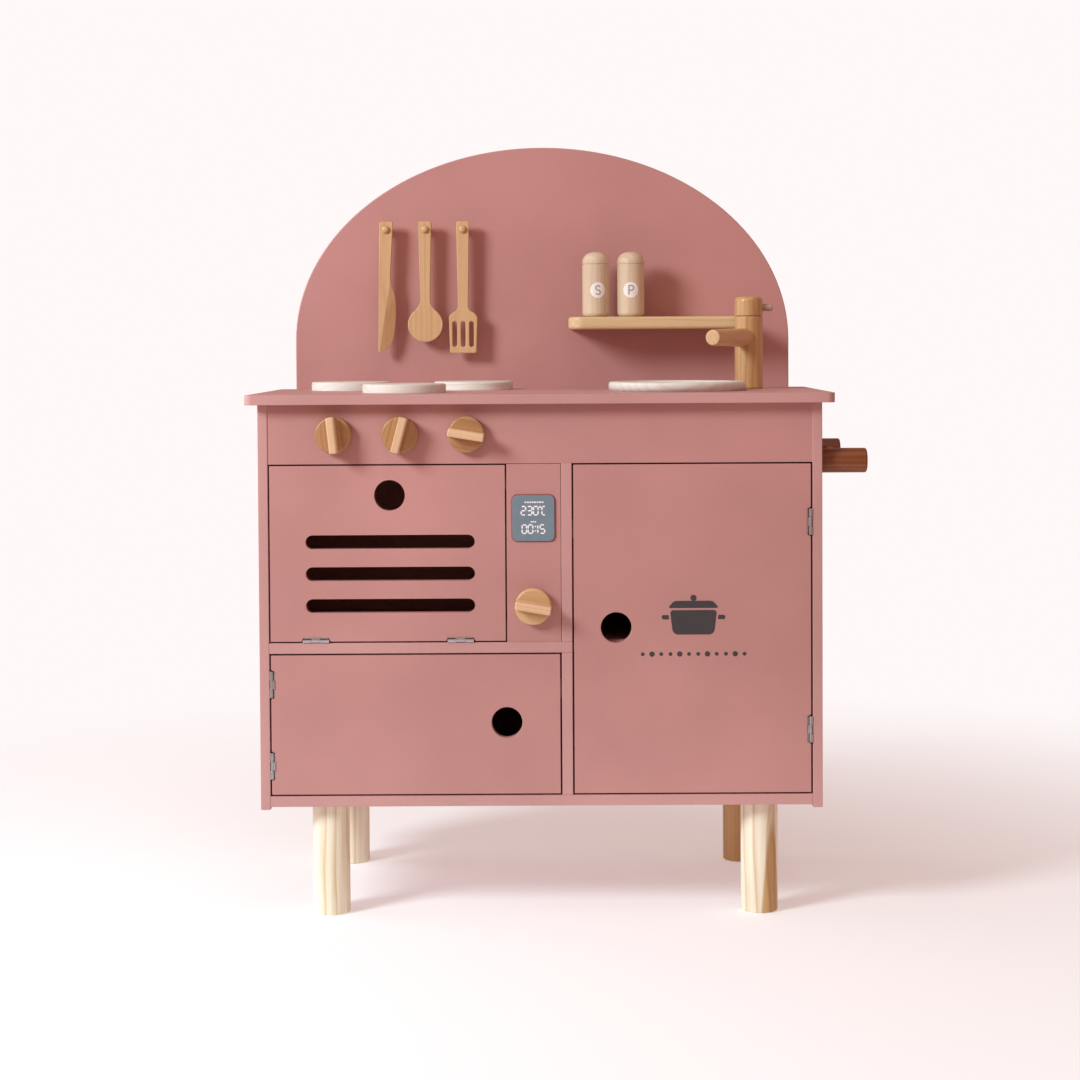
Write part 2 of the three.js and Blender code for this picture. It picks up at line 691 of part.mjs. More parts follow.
function spoonShape() {
  const bowlRadius = 19.8;
  const bowlZ = 612;
  const bowl = arc(SPOON_X, bowlZ, bowlRadius, 125, 415, 28);
  const shape = new THREE.Shape();
  shape.moveTo(SPOON_X - 7.5, UTENSIL_TOP);
  shape.lineTo(SPOON_X - 5.6, 640);
  shape.quadraticCurveTo(SPOON_X - 5.8, 634, ...bowl[0]);
  bowl.slice(1).forEach((point) => shape.lineTo(...point));
  shape.quadraticCurveTo(SPOON_X + 5.8, 634, SPOON_X + 5.6, 640);
  shape.lineTo(SPOON_X + 7.5, UTENSIL_TOP);
  return shape;
}

function turnerShape() {
  const shoulder = 16.2;
  const tip = 15;
  const shape = new THREE.Shape();
  shape.moveTo(TURNER_X - 7.3, UTENSIL_TOP);
  shape.lineTo(TURNER_X - 5.8, 633);
  shape.quadraticCurveTo(TURNER_X - 6.4, 628.5, TURNER_X - 9, 627);
  shape.quadraticCurveTo(TURNER_X - shoulder, 623.5, TURNER_X - shoulder, 619);
  shape.lineTo(TURNER_X - tip, 579.5);
  shape.lineTo(TURNER_X + tip, 579.5);
  shape.lineTo(TURNER_X + shoulder, 619);
  shape.quadraticCurveTo(TURNER_X + shoulder, 623.5, TURNER_X + 9, 627);
  shape.quadraticCurveTo(TURNER_X + 6.4, 628.5, TURNER_X + 5.8, 633);
  shape.lineTo(TURNER_X + 7.3, UTENSIL_TOP);
  return shape;
}

// The slots have round ends and pass right through the head.
function turnerSlots() {
  const half = TURNER_SLOT / 2;
  return [-TURNER_SLOT_PITCH, 0, TURNER_SLOT_PITCH].map((offset) => {
    const x = TURNER_X + offset;
    const slot = outline([...arc(x, 589, half, 180, 360, 6), ...arc(x, 613, half, 0, 180, 6)]);
    return upright(slot, 3 * UTENSIL_THICKNESS).translate(0, -UTENSIL_THICKNESS, 0);
  });
}

// ---------------------------------------------------------------- spice shelf and shakers

function addSpiceShelf() {
  const radii = [SPICE_CORNER, 2, 0.5, 0.5];
  const plan = roundedRectangle(SPICE_LEFT, SPICE_FRONT, SPICE_RIGHT, CABINET_REAR, radii);
  add('spice_shelf', level(plan, SPICE_THICKNESS), beech, [0, 0, SPICE_TOP - SPICE_THICKNESS]);
}

function addShakers() {
  const shoulder = SHAKER_HEIGHT - SHAKER_DOME;
  const groove = 0.6;
  const profile = [
    [0, 0],
    ...arc(SHAKER_RADIUS - 2, 2, 2, -90, 0, 2),
    [SHAKER_RADIUS, shoulder - groove],
    [SHAKER_RADIUS - groove, shoulder],
    [SHAKER_RADIUS, shoulder + groove],
    ...arc(SHAKER_RADIUS - 12, SHAKER_HEIGHT - 12, 12, 0, 90, 4),
    [0, SHAKER_HEIGHT],
  ];
  for (const [name, x] of Object.entries(SHAKERS)) {
    add(name, turned(profile, 20), beech, [x, SHAKER_Y, SPICE_TOP]);
  }
}

// ---------------------------------------------------------------- tap

// The post has a blind bore for the cap's spigot and a foot that passes through the worktop.
function addFaucetPost() {
  const postHeight = TAP_POST_TOP - WORKTOP_TOP;
  const footLength = BOARD + CLEARANCE + TAP_NUT;
  const bore = TAP_SPIGOT_RADIUS + CLEARANCE;
  const profile = [
    [0, -footLength],
    [TAP_FOOT_RADIUS, -footLength],
    [TAP_FOOT_RADIUS, 0],
    [TAP_RADIUS - 1, 0],
    [TAP_RADIUS, 1],
    [TAP_RADIUS, postHeight - 1],
    [TAP_RADIUS - 1, postHeight],
    [bore, postHeight],
    [bore, postHeight - TAP_SPIGOT - CLEARANCE],
    [0, postHeight - TAP_SPIGOT - CLEARANCE],
  ];
  add('faucet_post', turned(profile, 24), beech, [TAP_X, TAP_Y, WORKTOP_TOP]);
}

function addFaucetNut() {
  const inner = TAP_FOOT_RADIUS + CLEARANCE;
  const profile = [
    [inner, 0],
    [TAP_NUT_RADIUS, 0],
    [TAP_NUT_RADIUS, TAP_NUT],
    [inner, TAP_NUT],
    [inner, 0],
  ];
  const z = WORKTOP_UNDER - CLEARANCE - TAP_NUT;
  add('faucet_nut', turned(profile, 16), whitePlastic, [TAP_X, TAP_Y, z]);
}

// The spout's inner end is a saddle that fits round the post.
function addFaucetSpout() {
  const chamfer = 0.8;
  const profile = [
    [0, 0],
    [SPOUT_ROOT_RADIUS, 0],
    [SPOUT_ROOT_RADIUS, TAP_RADIUS],
    [SPOUT_RADIUS, SPOUT_LENGTH - chamfer],
    [SPOUT_RADIUS - chamfer, SPOUT_LENGTH],
    [0, SPOUT_LENGTH],
  ];
  const spout = towardsFront(turned(profile, 20)).rotateZ(-THREE.MathUtils.degToRad(SPOUT_TURN));
  const saddle = rod(TAP_RADIUS + CLEARANCE, -2 * SPOUT_RADIUS, 2 * SPOUT_RADIUS, 24);
  add('faucet_spout', cut(spout, saddle), beech, [TAP_X, TAP_Y, SPOUT_Z]);
}

function addFaucetCap() {
  const height = TAP_TOP - TAP_POST_TOP;
  const round = 5;
  const profile = [
    [0, -TAP_SPIGOT],
    [TAP_SPIGOT_RADIUS, -TAP_SPIGOT],
    [TAP_SPIGOT_RADIUS, CLEARANCE],
    [TAP_RADIUS - 1, CLEARANCE],
    [TAP_RADIUS, CLEARANCE + 1],
    ...arc(TAP_RADIUS - round, height - round, round, 0, 90, 3),
    [0, height],
  ];
  const leverZ = LEVER_Z - TAP_POST_TOP;
  const hole = alongX(rod(LEVER_RADIUS + CLEARANCE, LEVER_SOCKET, 2 * TAP_RADIUS, 12));
  const cap = cut(turned(profile, 24), hole.translate(0, 0, leverZ));
  add('faucet_cap', cap, beech, [TAP_X, TAP_Y, TAP_POST_TOP]);
}

function addFaucetLever() {
  const round = 1.5;
  const profile = [
    [0, LEVER_SOCKET + CLEARANCE],
    [LEVER_RADIUS, LEVER_SOCKET + CLEARANCE],
    ...arc(LEVER_RADIUS - round, LEVER_REACH - round, round, 0, 90, 2),
    [0, LEVER_REACH],
  ];
  add('faucet_lever', alongX(turned(profile, 12)), beech, [TAP_X, TAP_Y, LEVER_Z]);
}

// ---------------------------------------------------------------- sink and hob

function addSink() {
  const round = 3;
  const rim = [
    [SINK_RIM_INNER, 0],
    [SINK_RIM_RADIUS, 0],
    ...arc(SINK_RIM_RADIUS - round, SINK_RIM_HEIGHT - round, round, 0, 90, 2),
    ...arc(SINK_RIM_INNER + round, SINK_RIM_HEIGHT - round, round, 90, 180, 2),
    [SINK_RIM_INNER, 0],
  ];
  add('sink_rim', turned(rim, 36), limedWood, [SINK_X, SINK_Y, WORKTOP_TOP]);
  const corner = 10;
  const inner = SINK_RIM_INNER;
  const outerBottom = BASIN_BOTTOM_RADIUS + BASIN_WALL;
  const basin = [
    [0, -BASIN_DEPTH],
    ...arc(outerBottom - corner, corner - BASIN_DEPTH, corner, -90, -15, 3),
    [BASIN_RADIUS, 0],
    [inner, 0],
    ...arc(BASIN_BOTTOM_RADIUS - corner, corner + BASIN_WALL - BASIN_DEPTH, corner, -15, -90, 3),
    [0, BASIN_WALL - BASIN_DEPTH],
  ];
  add('sink_basin', turned(basin, 32), limedWood, [SINK_X, SINK_Y, WORKTOP_TOP]);
}

function addBurners() {
  const round = 2;
  const profile = [
    [0, 0],
    [BURNER_RADIUS, 0],
    ...arc(BURNER_RADIUS - round, BURNER_HEIGHT - round, round, 0, 90, 2),
    [0, BURNER_HEIGHT],
  ];
  for (const [name, [x, y]] of Object.entries(BURNERS)) {
    add(name, turned(profile, 32), limedWood, [x, y, WORKTOP_TOP]);
  }
}

// ---------------------------------------------------------------- assembly

addSidePanels();
addBottomPanel();
addRearPanel();
addCentreDivider();
addOvenShelf();
addCupboardShelf();
addControlFascia();
addDisplayPanel();
addDisplayPlate();
addCountertop();
addArchedBackboard();
addLegs();
addOvenDoor();
addLowerDoor();
addRightDoor();
addMagnetCatches();
addKnobs();
addTowelRail();
addPegs();
addUtensil('knife', knifeShape(), KNIFE_X);
addUtensil('spoon', spoonShape(), SPOON_X);
addUtensil('turner', turnerShape(), TURNER_X, turnerSlots());
addSpiceShelf();
addShakers();
addFaucetPost();
addFaucetNut();
addFaucetSpout();
addFaucetCap();
addFaucetLever();
addSink();
addBurners();

const part = new THREE.Group();
part.add(kitchen);
export default part;
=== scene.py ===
import json
import math
import random

import bmesh
import bpy
from mathutils import Matrix, Vector


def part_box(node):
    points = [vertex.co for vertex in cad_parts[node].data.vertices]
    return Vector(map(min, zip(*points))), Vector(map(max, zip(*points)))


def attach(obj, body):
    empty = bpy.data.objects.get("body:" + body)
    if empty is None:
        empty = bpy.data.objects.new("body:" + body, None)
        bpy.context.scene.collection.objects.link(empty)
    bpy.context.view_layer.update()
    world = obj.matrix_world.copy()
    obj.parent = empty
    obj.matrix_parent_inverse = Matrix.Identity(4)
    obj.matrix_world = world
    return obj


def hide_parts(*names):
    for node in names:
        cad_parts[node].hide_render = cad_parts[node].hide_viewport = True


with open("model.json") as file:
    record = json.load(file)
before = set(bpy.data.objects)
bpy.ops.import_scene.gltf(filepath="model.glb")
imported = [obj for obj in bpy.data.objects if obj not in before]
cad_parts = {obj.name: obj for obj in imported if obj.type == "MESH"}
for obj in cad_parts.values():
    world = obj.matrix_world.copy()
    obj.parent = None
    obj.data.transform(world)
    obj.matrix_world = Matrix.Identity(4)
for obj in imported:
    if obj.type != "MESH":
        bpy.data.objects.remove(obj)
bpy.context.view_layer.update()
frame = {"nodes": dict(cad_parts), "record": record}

# A toy kitchen. Lengths are in millimetres until a mesh is finished, and then in metres.
# Painted boards are the CAD's own pieces with rounded edges. Round and carved pieces are made
# here, finer than the CAD's, and stand where the CAD's boxes are.

MM = 0.001
NODES = frame["nodes"]
BODY_OF = {
    node: body
    for body, members in frame["record"]["behaviour"]["bodies"].items()
    for node in members
}
SLOT_OF = {part["node"]: part["material_slot"] for part in frame["record"]["subparts"]}


def extent(node):
    """The node's lowest corner, highest corner, middle and size, in millimetres."""
    low, high = (Vector(corner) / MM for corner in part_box(node))
    return low, high, (low + high) / 2, high - low


# ------------------------------------------------------------------ material nodes


def srgb(red, green, blue):
    """A display colour, 0 to 255, as the linear colour that a shader takes."""
    def linear(value):
        value /= 255
        return value / 12.92 if value <= 0.04045 else ((value + 0.055) / 1.055) ** 2.4
    return (linear(red), linear(green), linear(blue), 1)


class Shade:
    """A material under construction."""

    def __init__(self, name):
        self.material = bpy.data.materials.new(name)
        self.material.use_nodes = True
        self.tree = self.material.node_tree
        self.shader = self.tree.nodes["Principled BSDF"]
        self.place = self.node("ShaderNodeTexCoord").outputs["Object"]

    def node(self, kind, values=None, **settings):
        made = self.tree.nodes.new(kind)
        for key, value in settings.items():
            setattr(made, key, value)
        for key, value in (values or {}).items():
            self.feed(made.inputs[key], value)
        return made

    def feed(self, socket, value):
        if isinstance(value, bpy.types.NodeSocket):
            self.tree.links.new(value, socket)
        else:
            socket.default_value = value

    def set(self, **values):
        for key, value in values.items():
            self.feed(self.shader.inputs[key.replace("_", " ")], value)

    def scaled(self, scale, turn=(0, 0, 0), vector=None):
        values = {"Vector": vector or self.place, "Scale": scale, "Rotation": turn}
        return self.node("ShaderNodeMapping", values).outputs[0]

    def noise(self, vector, scale=1.0, detail=2.0, roughness=0.5):
        values = {"Vector": vector, "Scale": scale, "Detail": detail, "Roughness": roughness}
        return self.node("ShaderNodeTexNoise", values).outputs["Fac"]

    def maths(self, operation, *values):
        return self.node("ShaderNodeMath", dict(enumerate(values)), operation=operation).outputs[0]

    def ramp(self, factor, stops, smooth=False):
        made = self.node("ShaderNodeValToRGB", {"Fac": factor})
        ramp = made.color_ramp
        ramp.interpolation = "EASE" if smooth else "LINEAR"
        while len(ramp.elements) < len(stops):
            ramp.elements.new(0.5)
        for element, (position, colour) in zip(ramp.elements, stops):
            element.position = position
            element.color = colour if hasattr(colour, "__len__") else (colour, colour, colour, 1)
        return made.outputs[0]

    def mix(self, factor, first, second, blend="MIX"):
        values = {0: factor, 6: first, 7: second}
        return self.node("ShaderNodeMix", values, data_type="RGBA", blend_type=blend).outputs[2]

    def span(self, factor, low, high):
        values = {"Value": factor, "To Min": low, "To Max": high}
        return self.node("ShaderNodeMapRange", values).outputs[0]

    def bump(self, height, distance, strength=1.0, normal=None):
        values = {"Height": height, "Distance": distance, "Strength": strength}
        if normal is not None:
            values["Normal"] = normal
        return self.node("ShaderNodeBump", values).outputs[0]


def paint(name, colour):
    """Satin paint on board: rolled on, so faintly uneven in colour, gloss and surface."""
    shade = Shade(name)
    broad = shade.noise(shade.place, 4.5, 3)
    clouds = shade.noise(shade.place, 38, 4, 0.6)
    deeper = [channel * 0.9 for channel in colour[:3]] + [1]
    lighter = [min(1, channel * 1.06 + 0.004) for channel in colour[:3]] + [1]
    tone = shade.mix(shade.ramp(broad, [(0.3, 0), (0.7, 1)], True), deeper, lighter)
    tone = shade.mix(shade.span(clouds, 0, 0.22), tone, colour)
    speck = shade.node("ShaderNodeTexVoronoi", {"Vector": shade.place, "Scale": 60}).outputs["Distance"]
    dust = shade.ramp(speck, [(0.035, 1), (0.06, 0)])
    tone = shade.mix(shade.maths("MULTIPLY", dust, 0.16), tone, lighter)
    peel = shade.noise(shade.place, 520, 3, 0.55)
    swell = shade.noise(shade.place, 75, 2)
    normal = shade.bump(swell, 0.0004, 0.25)
    normal = shade.bump(peel, 0.00012, 0.55, normal)
    rough = shade.span(shade.noise(shade.place, 24, 4, 0.65), 0.36, 0.56)
    shade.set(Base_Color=tone, Roughness=rough, Normal=normal, Specular_IOR_Level=0.5)
    shade.set(Coat_Weight=0.06, Coat_Roughness=0.3)
    return shade.material


def timber(
    name, light, dark, ring, ringed, wave, fleck, rough, wash=0.0, coat=0.0, heart=None
):
    """Solid wood with its grain along the piece's own Z. Growth rings run round the piece's
    own Z axis, and each piece is set off from that axis, as if sawn from its own place in a
    trunk. ring is their pitch and wave how far they wander, in millimetres. ringed and fleck
    are how strongly rings and flecks show, and wash is how much whitewash covers them."""
    shade = Shade(name)
    drift = shade.noise(shade.scaled((16, 16, 3.5)), 1, 3, 0.55)
    ripple = shade.noise(shade.scaled((70, 70, 9)), 1, 2)
    flat = shade.scaled((1, 1, 0))
    radius = shade.node("ShaderNodeVectorMath", {0: flat}, operation="LENGTH").outputs["Value"]
    wander = shade.maths("MULTIPLY_ADD", drift, wave * MM * 2, radius)
    wander = shade.maths("MULTIPLY_ADD", ripple, 0.9 * MM, wander)
    phase = shade.maths("FRACT", shade.maths("DIVIDE", wander, ring * MM))
    late = shade.ramp(phase, [(0.0, 0.1), (0.35, 0.0), (0.72, 0.42), (0.9, 1.0), (1.0, 0.12)])
    fibre = shade.noise(shade.scaled((1100, 1100, 22)), 1, 4, 0.65)
    strand = shade.noise(shade.scaled((260, 260, 5)), 1, 3, 0.6)
    patch = shade.noise(shade.scaled((30, 30, 7)), 1, 2)
    depth = shade.maths("MULTIPLY", late, ringed)
    depth = shade.maths("ADD", depth, shade.span(strand, -0.3, 0.42))
    depth = shade.maths("ADD", depth, shade.span(fibre, -0.16, 0.2))
    depth = shade.maths("ADD", depth, shade.span(patch, -0.22, 0.22))
    middle = [(a + b) / 2 for a, b in zip(light, dark)]
    colour = shade.ramp(depth, [(0.0, light), (0.5, middle), (1.0, dark)])
    cells = shade.scaled((900, 900, 110))
    spots = shade.node("ShaderNodeTexVoronoi", {"Vector": cells, "Scale": 1.0}).outputs["Distance"]
    flecks = shade.ramp(spots, [(0.06, 1), (0.2, 0)])
    darker = [channel * 0.55 for channel in dark[:3]] + [1]
    colour = shade.mix(shade.maths("MULTIPLY", flecks, fleck), colour, darker)
    if heart:
        colour = heartwood(shade, radius, drift, colour, heart)
    if wash:
        thin = shade.noise(shade.scaled((45, 45, 14)), 1, 4, 0.6)
        cover = shade.span(shade.ramp(thin, [(0.25, 0), (0.65, 1)]), wash * 0.72, wash)
        colour = shade.mix(cover, colour, WHITEWASH)
    rise = shade.maths("MULTIPLY_ADD", late, -0.5, fibre)
    normal = shade.bump(rise, 0.00012, 0.5)
    normal = shade.bump(flecks, -0.0001, 0.4, normal)
    gloss = shade.span(strand, rough - 0.08, rough + 0.1)
    shade.set(Base_Color=colour, Roughness=gloss, Normal=normal)
    shade.set(Coat_Weight=coat, Coat_Roughness=0.3)
    return shade.material


def heartwood(shade, radius, drift, sapwood, tone):
    """Darkens the wood near the trunk's axis. The heart narrows upwards, like a flame."""
    height = shade.node("ShaderNodeSeparateXYZ", {0: shade.place}).outputs["Z"]
    edge = shade.maths("MULTIPLY_ADD", height, 0.085, radius)
    edge = shade.maths("MULTIPLY_ADD", drift, 5 * MM, edge)
    inside = shade.ramp(shade.maths("DIVIDE", edge, 50 * MM), [(0.42, 1), (0.48, 0)], True)
    return shade.mix(shade.maths("MULTIPLY", inside, 0.9), sapwood, tone, "MULTIPLY")


def plated_steel(name):
    shade = Shade(name)
    brushed = shade.noise(shade.scaled((90, 90, 2600)), 1, 3, 0.6)
    mottle = shade.noise(shade.place, 320, 4, 0.6)
    tone = shade.mix(shade.span(mottle, 0, 1), srgb(168, 174, 180), srgb(214, 218, 222))
    rough = shade.span(brushed, 0.22, 0.46)
    shade.set(Base_Color=tone, Roughness=rough, Metallic=1.0)
    shade.set(Normal=shade.bump(brushed, 0.00004, 0.5))
    return shade.material


def moulded(name, colour, rough, mottled=0.04, coat=0.0):
    """Plastic or print with a fine moulded texture."""
    shade = Shade(name)
    fine = shade.noise(shade.place, 1400, 3)
    wide = shade.noise(shade.place, 90, 3)
    deeper = [channel * (1 - 2 * mottled) for channel in colour[:3]] + [1]
    tone = shade.mix(shade.ramp(wide, [(0.3, 0), (0.7, 1)]), deeper, colour)
    shade.set(Base_Color=tone, Roughness=shade.span(fine, rough - 0.05, rough + 0.07))
    shade.set(Normal=shade.bump(fine, 0.00003, 0.6), Coat_Weight=coat, Coat_Roughness=0.12)
    return shade.material


WHITEWASH = srgb(230, 232, 226)
# One satin paint in three brightnesses. The pale copy is painted light, for the front edges of the carcass
# boards and the worktop, so they look more brightly lit. The deep copy is painted shade, for the
# backboard, so it looks less lit and less glossy.
PAINT = paint("satin_paint", srgb(194, 142, 137))
PAINT_PAINTED_SHADE = paint("satin_paint_painted_shade", srgb(190, 137, 132))
PAINT_PAINTED_LIGHT = paint("satin_paint_painted_light", srgb(200, 153, 149))
BEECH = timber(
    "oiled_beech", srgb(213, 176, 130), srgb(170, 126, 80),
    ring=5.5, ringed=0.3, wave=7, fleck=0.42, rough=0.44, coat=0.15,
)
PALE_BEECH = timber(
    "pale_beech", srgb(221, 193, 149), srgb(184, 150, 104),
    ring=5.0, ringed=0.34, wave=6, fleck=0.35, rough=0.48,
)
BAR_BEECH = timber(
    "bar_beech", srgb(230, 196, 156), srgb(196, 152, 108),
    ring=5.0, ringed=0.34, wave=6, fleck=0.35, rough=0.48,
)
SHAKER_BEECH = timber(
    "shaker_beech", srgb(217, 198, 170), srgb(182, 156, 126),
    ring=4.5, ringed=0.3, wave=6, fleck=0.35, rough=0.5,
)
WARM_BEECH = timber(
    "warm_beech", srgb(186, 141, 96), srgb(128, 78, 42),
    ring=4.5, ringed=0.4, wave=7, fleck=0.45, rough=0.42, coat=0.1,
)
TAP_BEECH = timber(
    "tap_beech", srgb(204, 163, 110), srgb(150, 104, 60),
    ring=4.5, ringed=0.42, wave=7, fleck=0.45, rough=0.36, coat=0.25,
)
LEVER_BEECH = timber(
    "lever_beech", srgb(180, 154, 130), srgb(126, 100, 80),
    ring=4.5, ringed=0.4, wave=6, fleck=0.4, rough=0.4, coat=0.2,
)
DARK_BEECH = timber(
    "dark_beech", srgb(142, 78, 34), srgb(80, 38, 14),
    ring=4.5, ringed=0.5, wave=7, fleck=0.45, rough=0.4, coat=0.1,
)
PINE = timber(
    "pine", srgb(246, 242, 220), srgb(196, 164, 112),
    ring=13, ringed=0.6, wave=12, fleck=0.06, rough=0.5, heart=srgb(206, 166, 112),
)
LIMED = timber(
    "limed_wood", srgb(216, 211, 197), srgb(182, 158, 126),
    ring=7, ringed=0.9, wave=12, fleck=0.2, rough=0.55, wash=0.72,
)
STEEL = plated_steel("zinc_plated_steel")
WHITE = moulded("white_plastic", srgb(236, 233, 228), 0.42)
DISPLAY = moulded("display_panel_print", srgb(119, 141, 154), 0.3, coat=0.5)
DIGITS = moulded("display_digit_print", srgb(246, 250, 252), 0.4, mottled=0.01)
LABEL = moulded("label_paper", srgb(246, 243, 238), 0.6)
INK = moulded("grey_ink", srgb(150, 148, 148), 0.6)
DARK_PRINT = moulded("dark_print", srgb(62, 60, 62), 0.55)
# Red-brown paint that is painted shadow: it stands in for the shade inside a recess.
PAINTED_RECESS_SHADOW = moulded("seam_shadow_paint", srgb(150, 84, 76), 0.6)


# ------------------------------------------------------------------ painted boards


def smooth_shading():
    """A node group that only marks every face smooth, to go before weighted normals."""
    group = bpy.data.node_groups.new("shade_smooth", "GeometryNodeTree")
    group.interface.new_socket("Geometry", in_out="INPUT", socket_type="NodeSocketGeometry")
    group.interface.new_socket("Geometry", in_out="OUTPUT", socket_type="NodeSocketGeometry")
    start = group.nodes.new("NodeGroupInput")
    smooth = group.nodes.new("GeometryNodeSetShadeSmooth")
    end = group.nodes.new("NodeGroupOutput")
    group.links.new(start.outputs[0], smooth.inputs["Geometry"])
    group.links.new(smooth.outputs["Geometry"], end.inputs[0])
    return group


SMOOTH = smooth_shading()


SHARP_ANGLE = 35  # edges that turn by more than this are rounded


def soften(piece, edge, segments):
    """Rounds a board's sharp edges by modifiers alone."""
    weld = piece.modifiers.new("weld", "WELD")
    weld.merge_threshold = 0.004 * MM
    flat = piece.modifiers.new("flat", "DECIMATE")
    flat.decimate_type = "DISSOLVE"
    flat.angle_limit = math.radians(0.4)
    bevel = piece.modifiers.new("edges", "BEVEL")
    bevel.width = edge * MM
    bevel.segments = segments
    bevel.limit_method = "ANGLE"
    bevel.angle_limit = math.radians(SHARP_ANGLE)
    bevel.miter_outer = "MITER_ARC"
    piece.modifiers.new("smooth", "NODES").node_group = SMOOTH
    piece.modifiers.new("normals", "WEIGHTED_NORMAL").keep_sharp = True


def dress(node, material, edge, segments=3):
    """Gives a carried-over CAD node its material and its rounded edges."""
    piece = NODES[node]
    piece.data.materials.clear()
    piece.data.materials.append(material)
    soften(piece, edge, segments)


BOARD_EDGE = 0.7
BIG_BOARD_EDGE = 1.2
SEAM_BOARD_EDGE = 0.2
BIG_BOARDS = ("countertop", "arched_backboard")
SEAM_BOARDS = ("control_fascia", "display_panel")
# Boards in the pale copy of the paint, whose lighter colour is painted light.
PAINTED_LIGHT_BOARDS = (
    "side_panel_left", "side_panel_right", "bottom_panel", "oven_shelf", "centre_divider", "countertop",
)
HINGE_EDGE = 0.15
CATCH_EDGE = 0.6
for node_name, slot_name in SLOT_OF.items():
    if slot_name == "painted_wood":
        material = PAINT_PAINTED_LIGHT if node_name in PAINTED_LIGHT_BOARDS else PAINT
        # The backboard takes the deep copy of the paint, which is painted shade.
        if node_name == "arched_backboard":
            material = PAINT_PAINTED_SHADE
        edge = BIG_BOARD_EDGE if node_name in BIG_BOARDS else BOARD_EDGE
        dress(node_name, material, SEAM_BOARD_EDGE if node_name in SEAM_BOARDS else edge)
    elif slot_name == "hinge_steel":
        dress(node_name, STEEL, HINGE_EDGE, 2)
    elif slot_name == "white_plastic":
        dress(node_name, WHITE, CATCH_EDGE)


# ------------------------------------------------------------------ mesh helpers


def fillet(corners, closed=False, steps=6):
    """Points along a line through (x, y, radius) corners, each rounded to its radius."""
    points = []
    last = len(corners) - 1
    for i, (x, y, radius) in enumerate(corners):
        if radius == 0 or (not closed and i in (0, last)):
            points.append((x, y))
            continue
        here = Vector((x, y))
        before = (Vector(corners[i - 1][:2]) - here).normalized()
        after = (Vector(corners[(i + 1) % len(corners)][:2]) - here).normalized()
        half = before.angle(after) / 2
        reach = radius / math.tan(half)
        centre = here + (before + after).normalized() * radius / math.sin(half)
        start = here + before * reach - centre
        end = here + after * reach - centre
        turn = start.angle_signed(end)
        for k in range(steps + 1):
            spot = start.copy()
            spot.rotate(Matrix.Rotation(-turn * k / steps, 2))
            points.append(tuple(centre + spot))
    return points


def circle(x, y, radius, steps=64, start=0):
    angles = (start + math.tau * k / steps for k in range(steps))
    return [(x + radius * math.cos(angle), y + radius * math.sin(angle)) for angle in angles]


def lathe(profile, segments=72):
    """A solid turned about Z from (radius, height) points, from the bottom up."""
    shape = bmesh.new()
    rings = []
    for radius, height in profile:
        if radius < 1e-6:
            rings.append([shape.verts.new((0, 0, height))])
            continue
        rings.append([shape.verts.new((x, y, height)) for x, y in circle(0, 0, radius, segments)])
    for low, high in zip(rings, rings[1:]):
        for k in range(segments):
            corners = [low[k % len(low)], low[(k + 1) % len(low)]]
            corners += [high[(k + 1) % len(high)], high[k % len(high)]]
            corners = list(dict.fromkeys(corners))
            if len(corners) > 2:
                shape.faces.new(corners)
    if len(rings[0]) > 1 and len(rings[-1]) > 1:
        bmesh.ops.remove_doubles(shape, verts=shape.verts, dist=1e-5)
    return shape


def plate(outlines, thickness, edge, resolution=3):
    """A flat board from closed outlines, holes among them, with rounded edges. It lies on
    Z = 0 and is as thick as stated."""
    curve = bpy.data.curves.new("outline", "CURVE")
    curve.dimensions = "2D"
    curve.fill_mode = "BOTH"
    curve.extrude = thickness / 2 - edge
    curve.bevel_depth = edge
    curve.bevel_resolution = resolution
    curve.offset = -edge
    for points in outlines:
        spline = curve.splines.new("POLY")
        spline.points.add(len(points) - 1)
        for point, (x, y) in zip(spline.points, points):
            point.co = (x, y, 0, 1)
        spline.use_cyclic_u = True
    holder = bpy.data.objects.new("outline", curve)
    bpy.context.scene.collection.objects.link(holder)
    bpy.context.view_layer.update()
    mesh = bpy.data.meshes.new_from_object(holder.evaluated_get(bpy.context.evaluated_depsgraph_get()))
    shape = bmesh.new()
    shape.from_mesh(mesh)
    bpy.data.objects.remove(holder)
    bpy.data.curves.remove(curve)
    bpy.data.meshes.remove(mesh)
    bmesh.ops.remove_doubles(shape, verts=shape.verts, dist=1e-4)
    bmesh.ops.translate(shape, verts=shape.verts, vec=(0, 0, thickness / 2))
    return shape


def merged(*shapes):
    """One bmesh from several, which are used up."""
    whole = bmesh.new()
    for shape in shapes:
        mesh = bpy.data.meshes.new("part")
        shape.to_mesh(mesh)
        shape.free()
        whole.from_mesh(mesh)
        bpy.data.meshes.remove(mesh)
    return whole


def moved(shape, x=0, y=0, z=0):
    bmesh.ops.translate(shape, verts=shape.verts, vec=(x, y, z))
    return shape


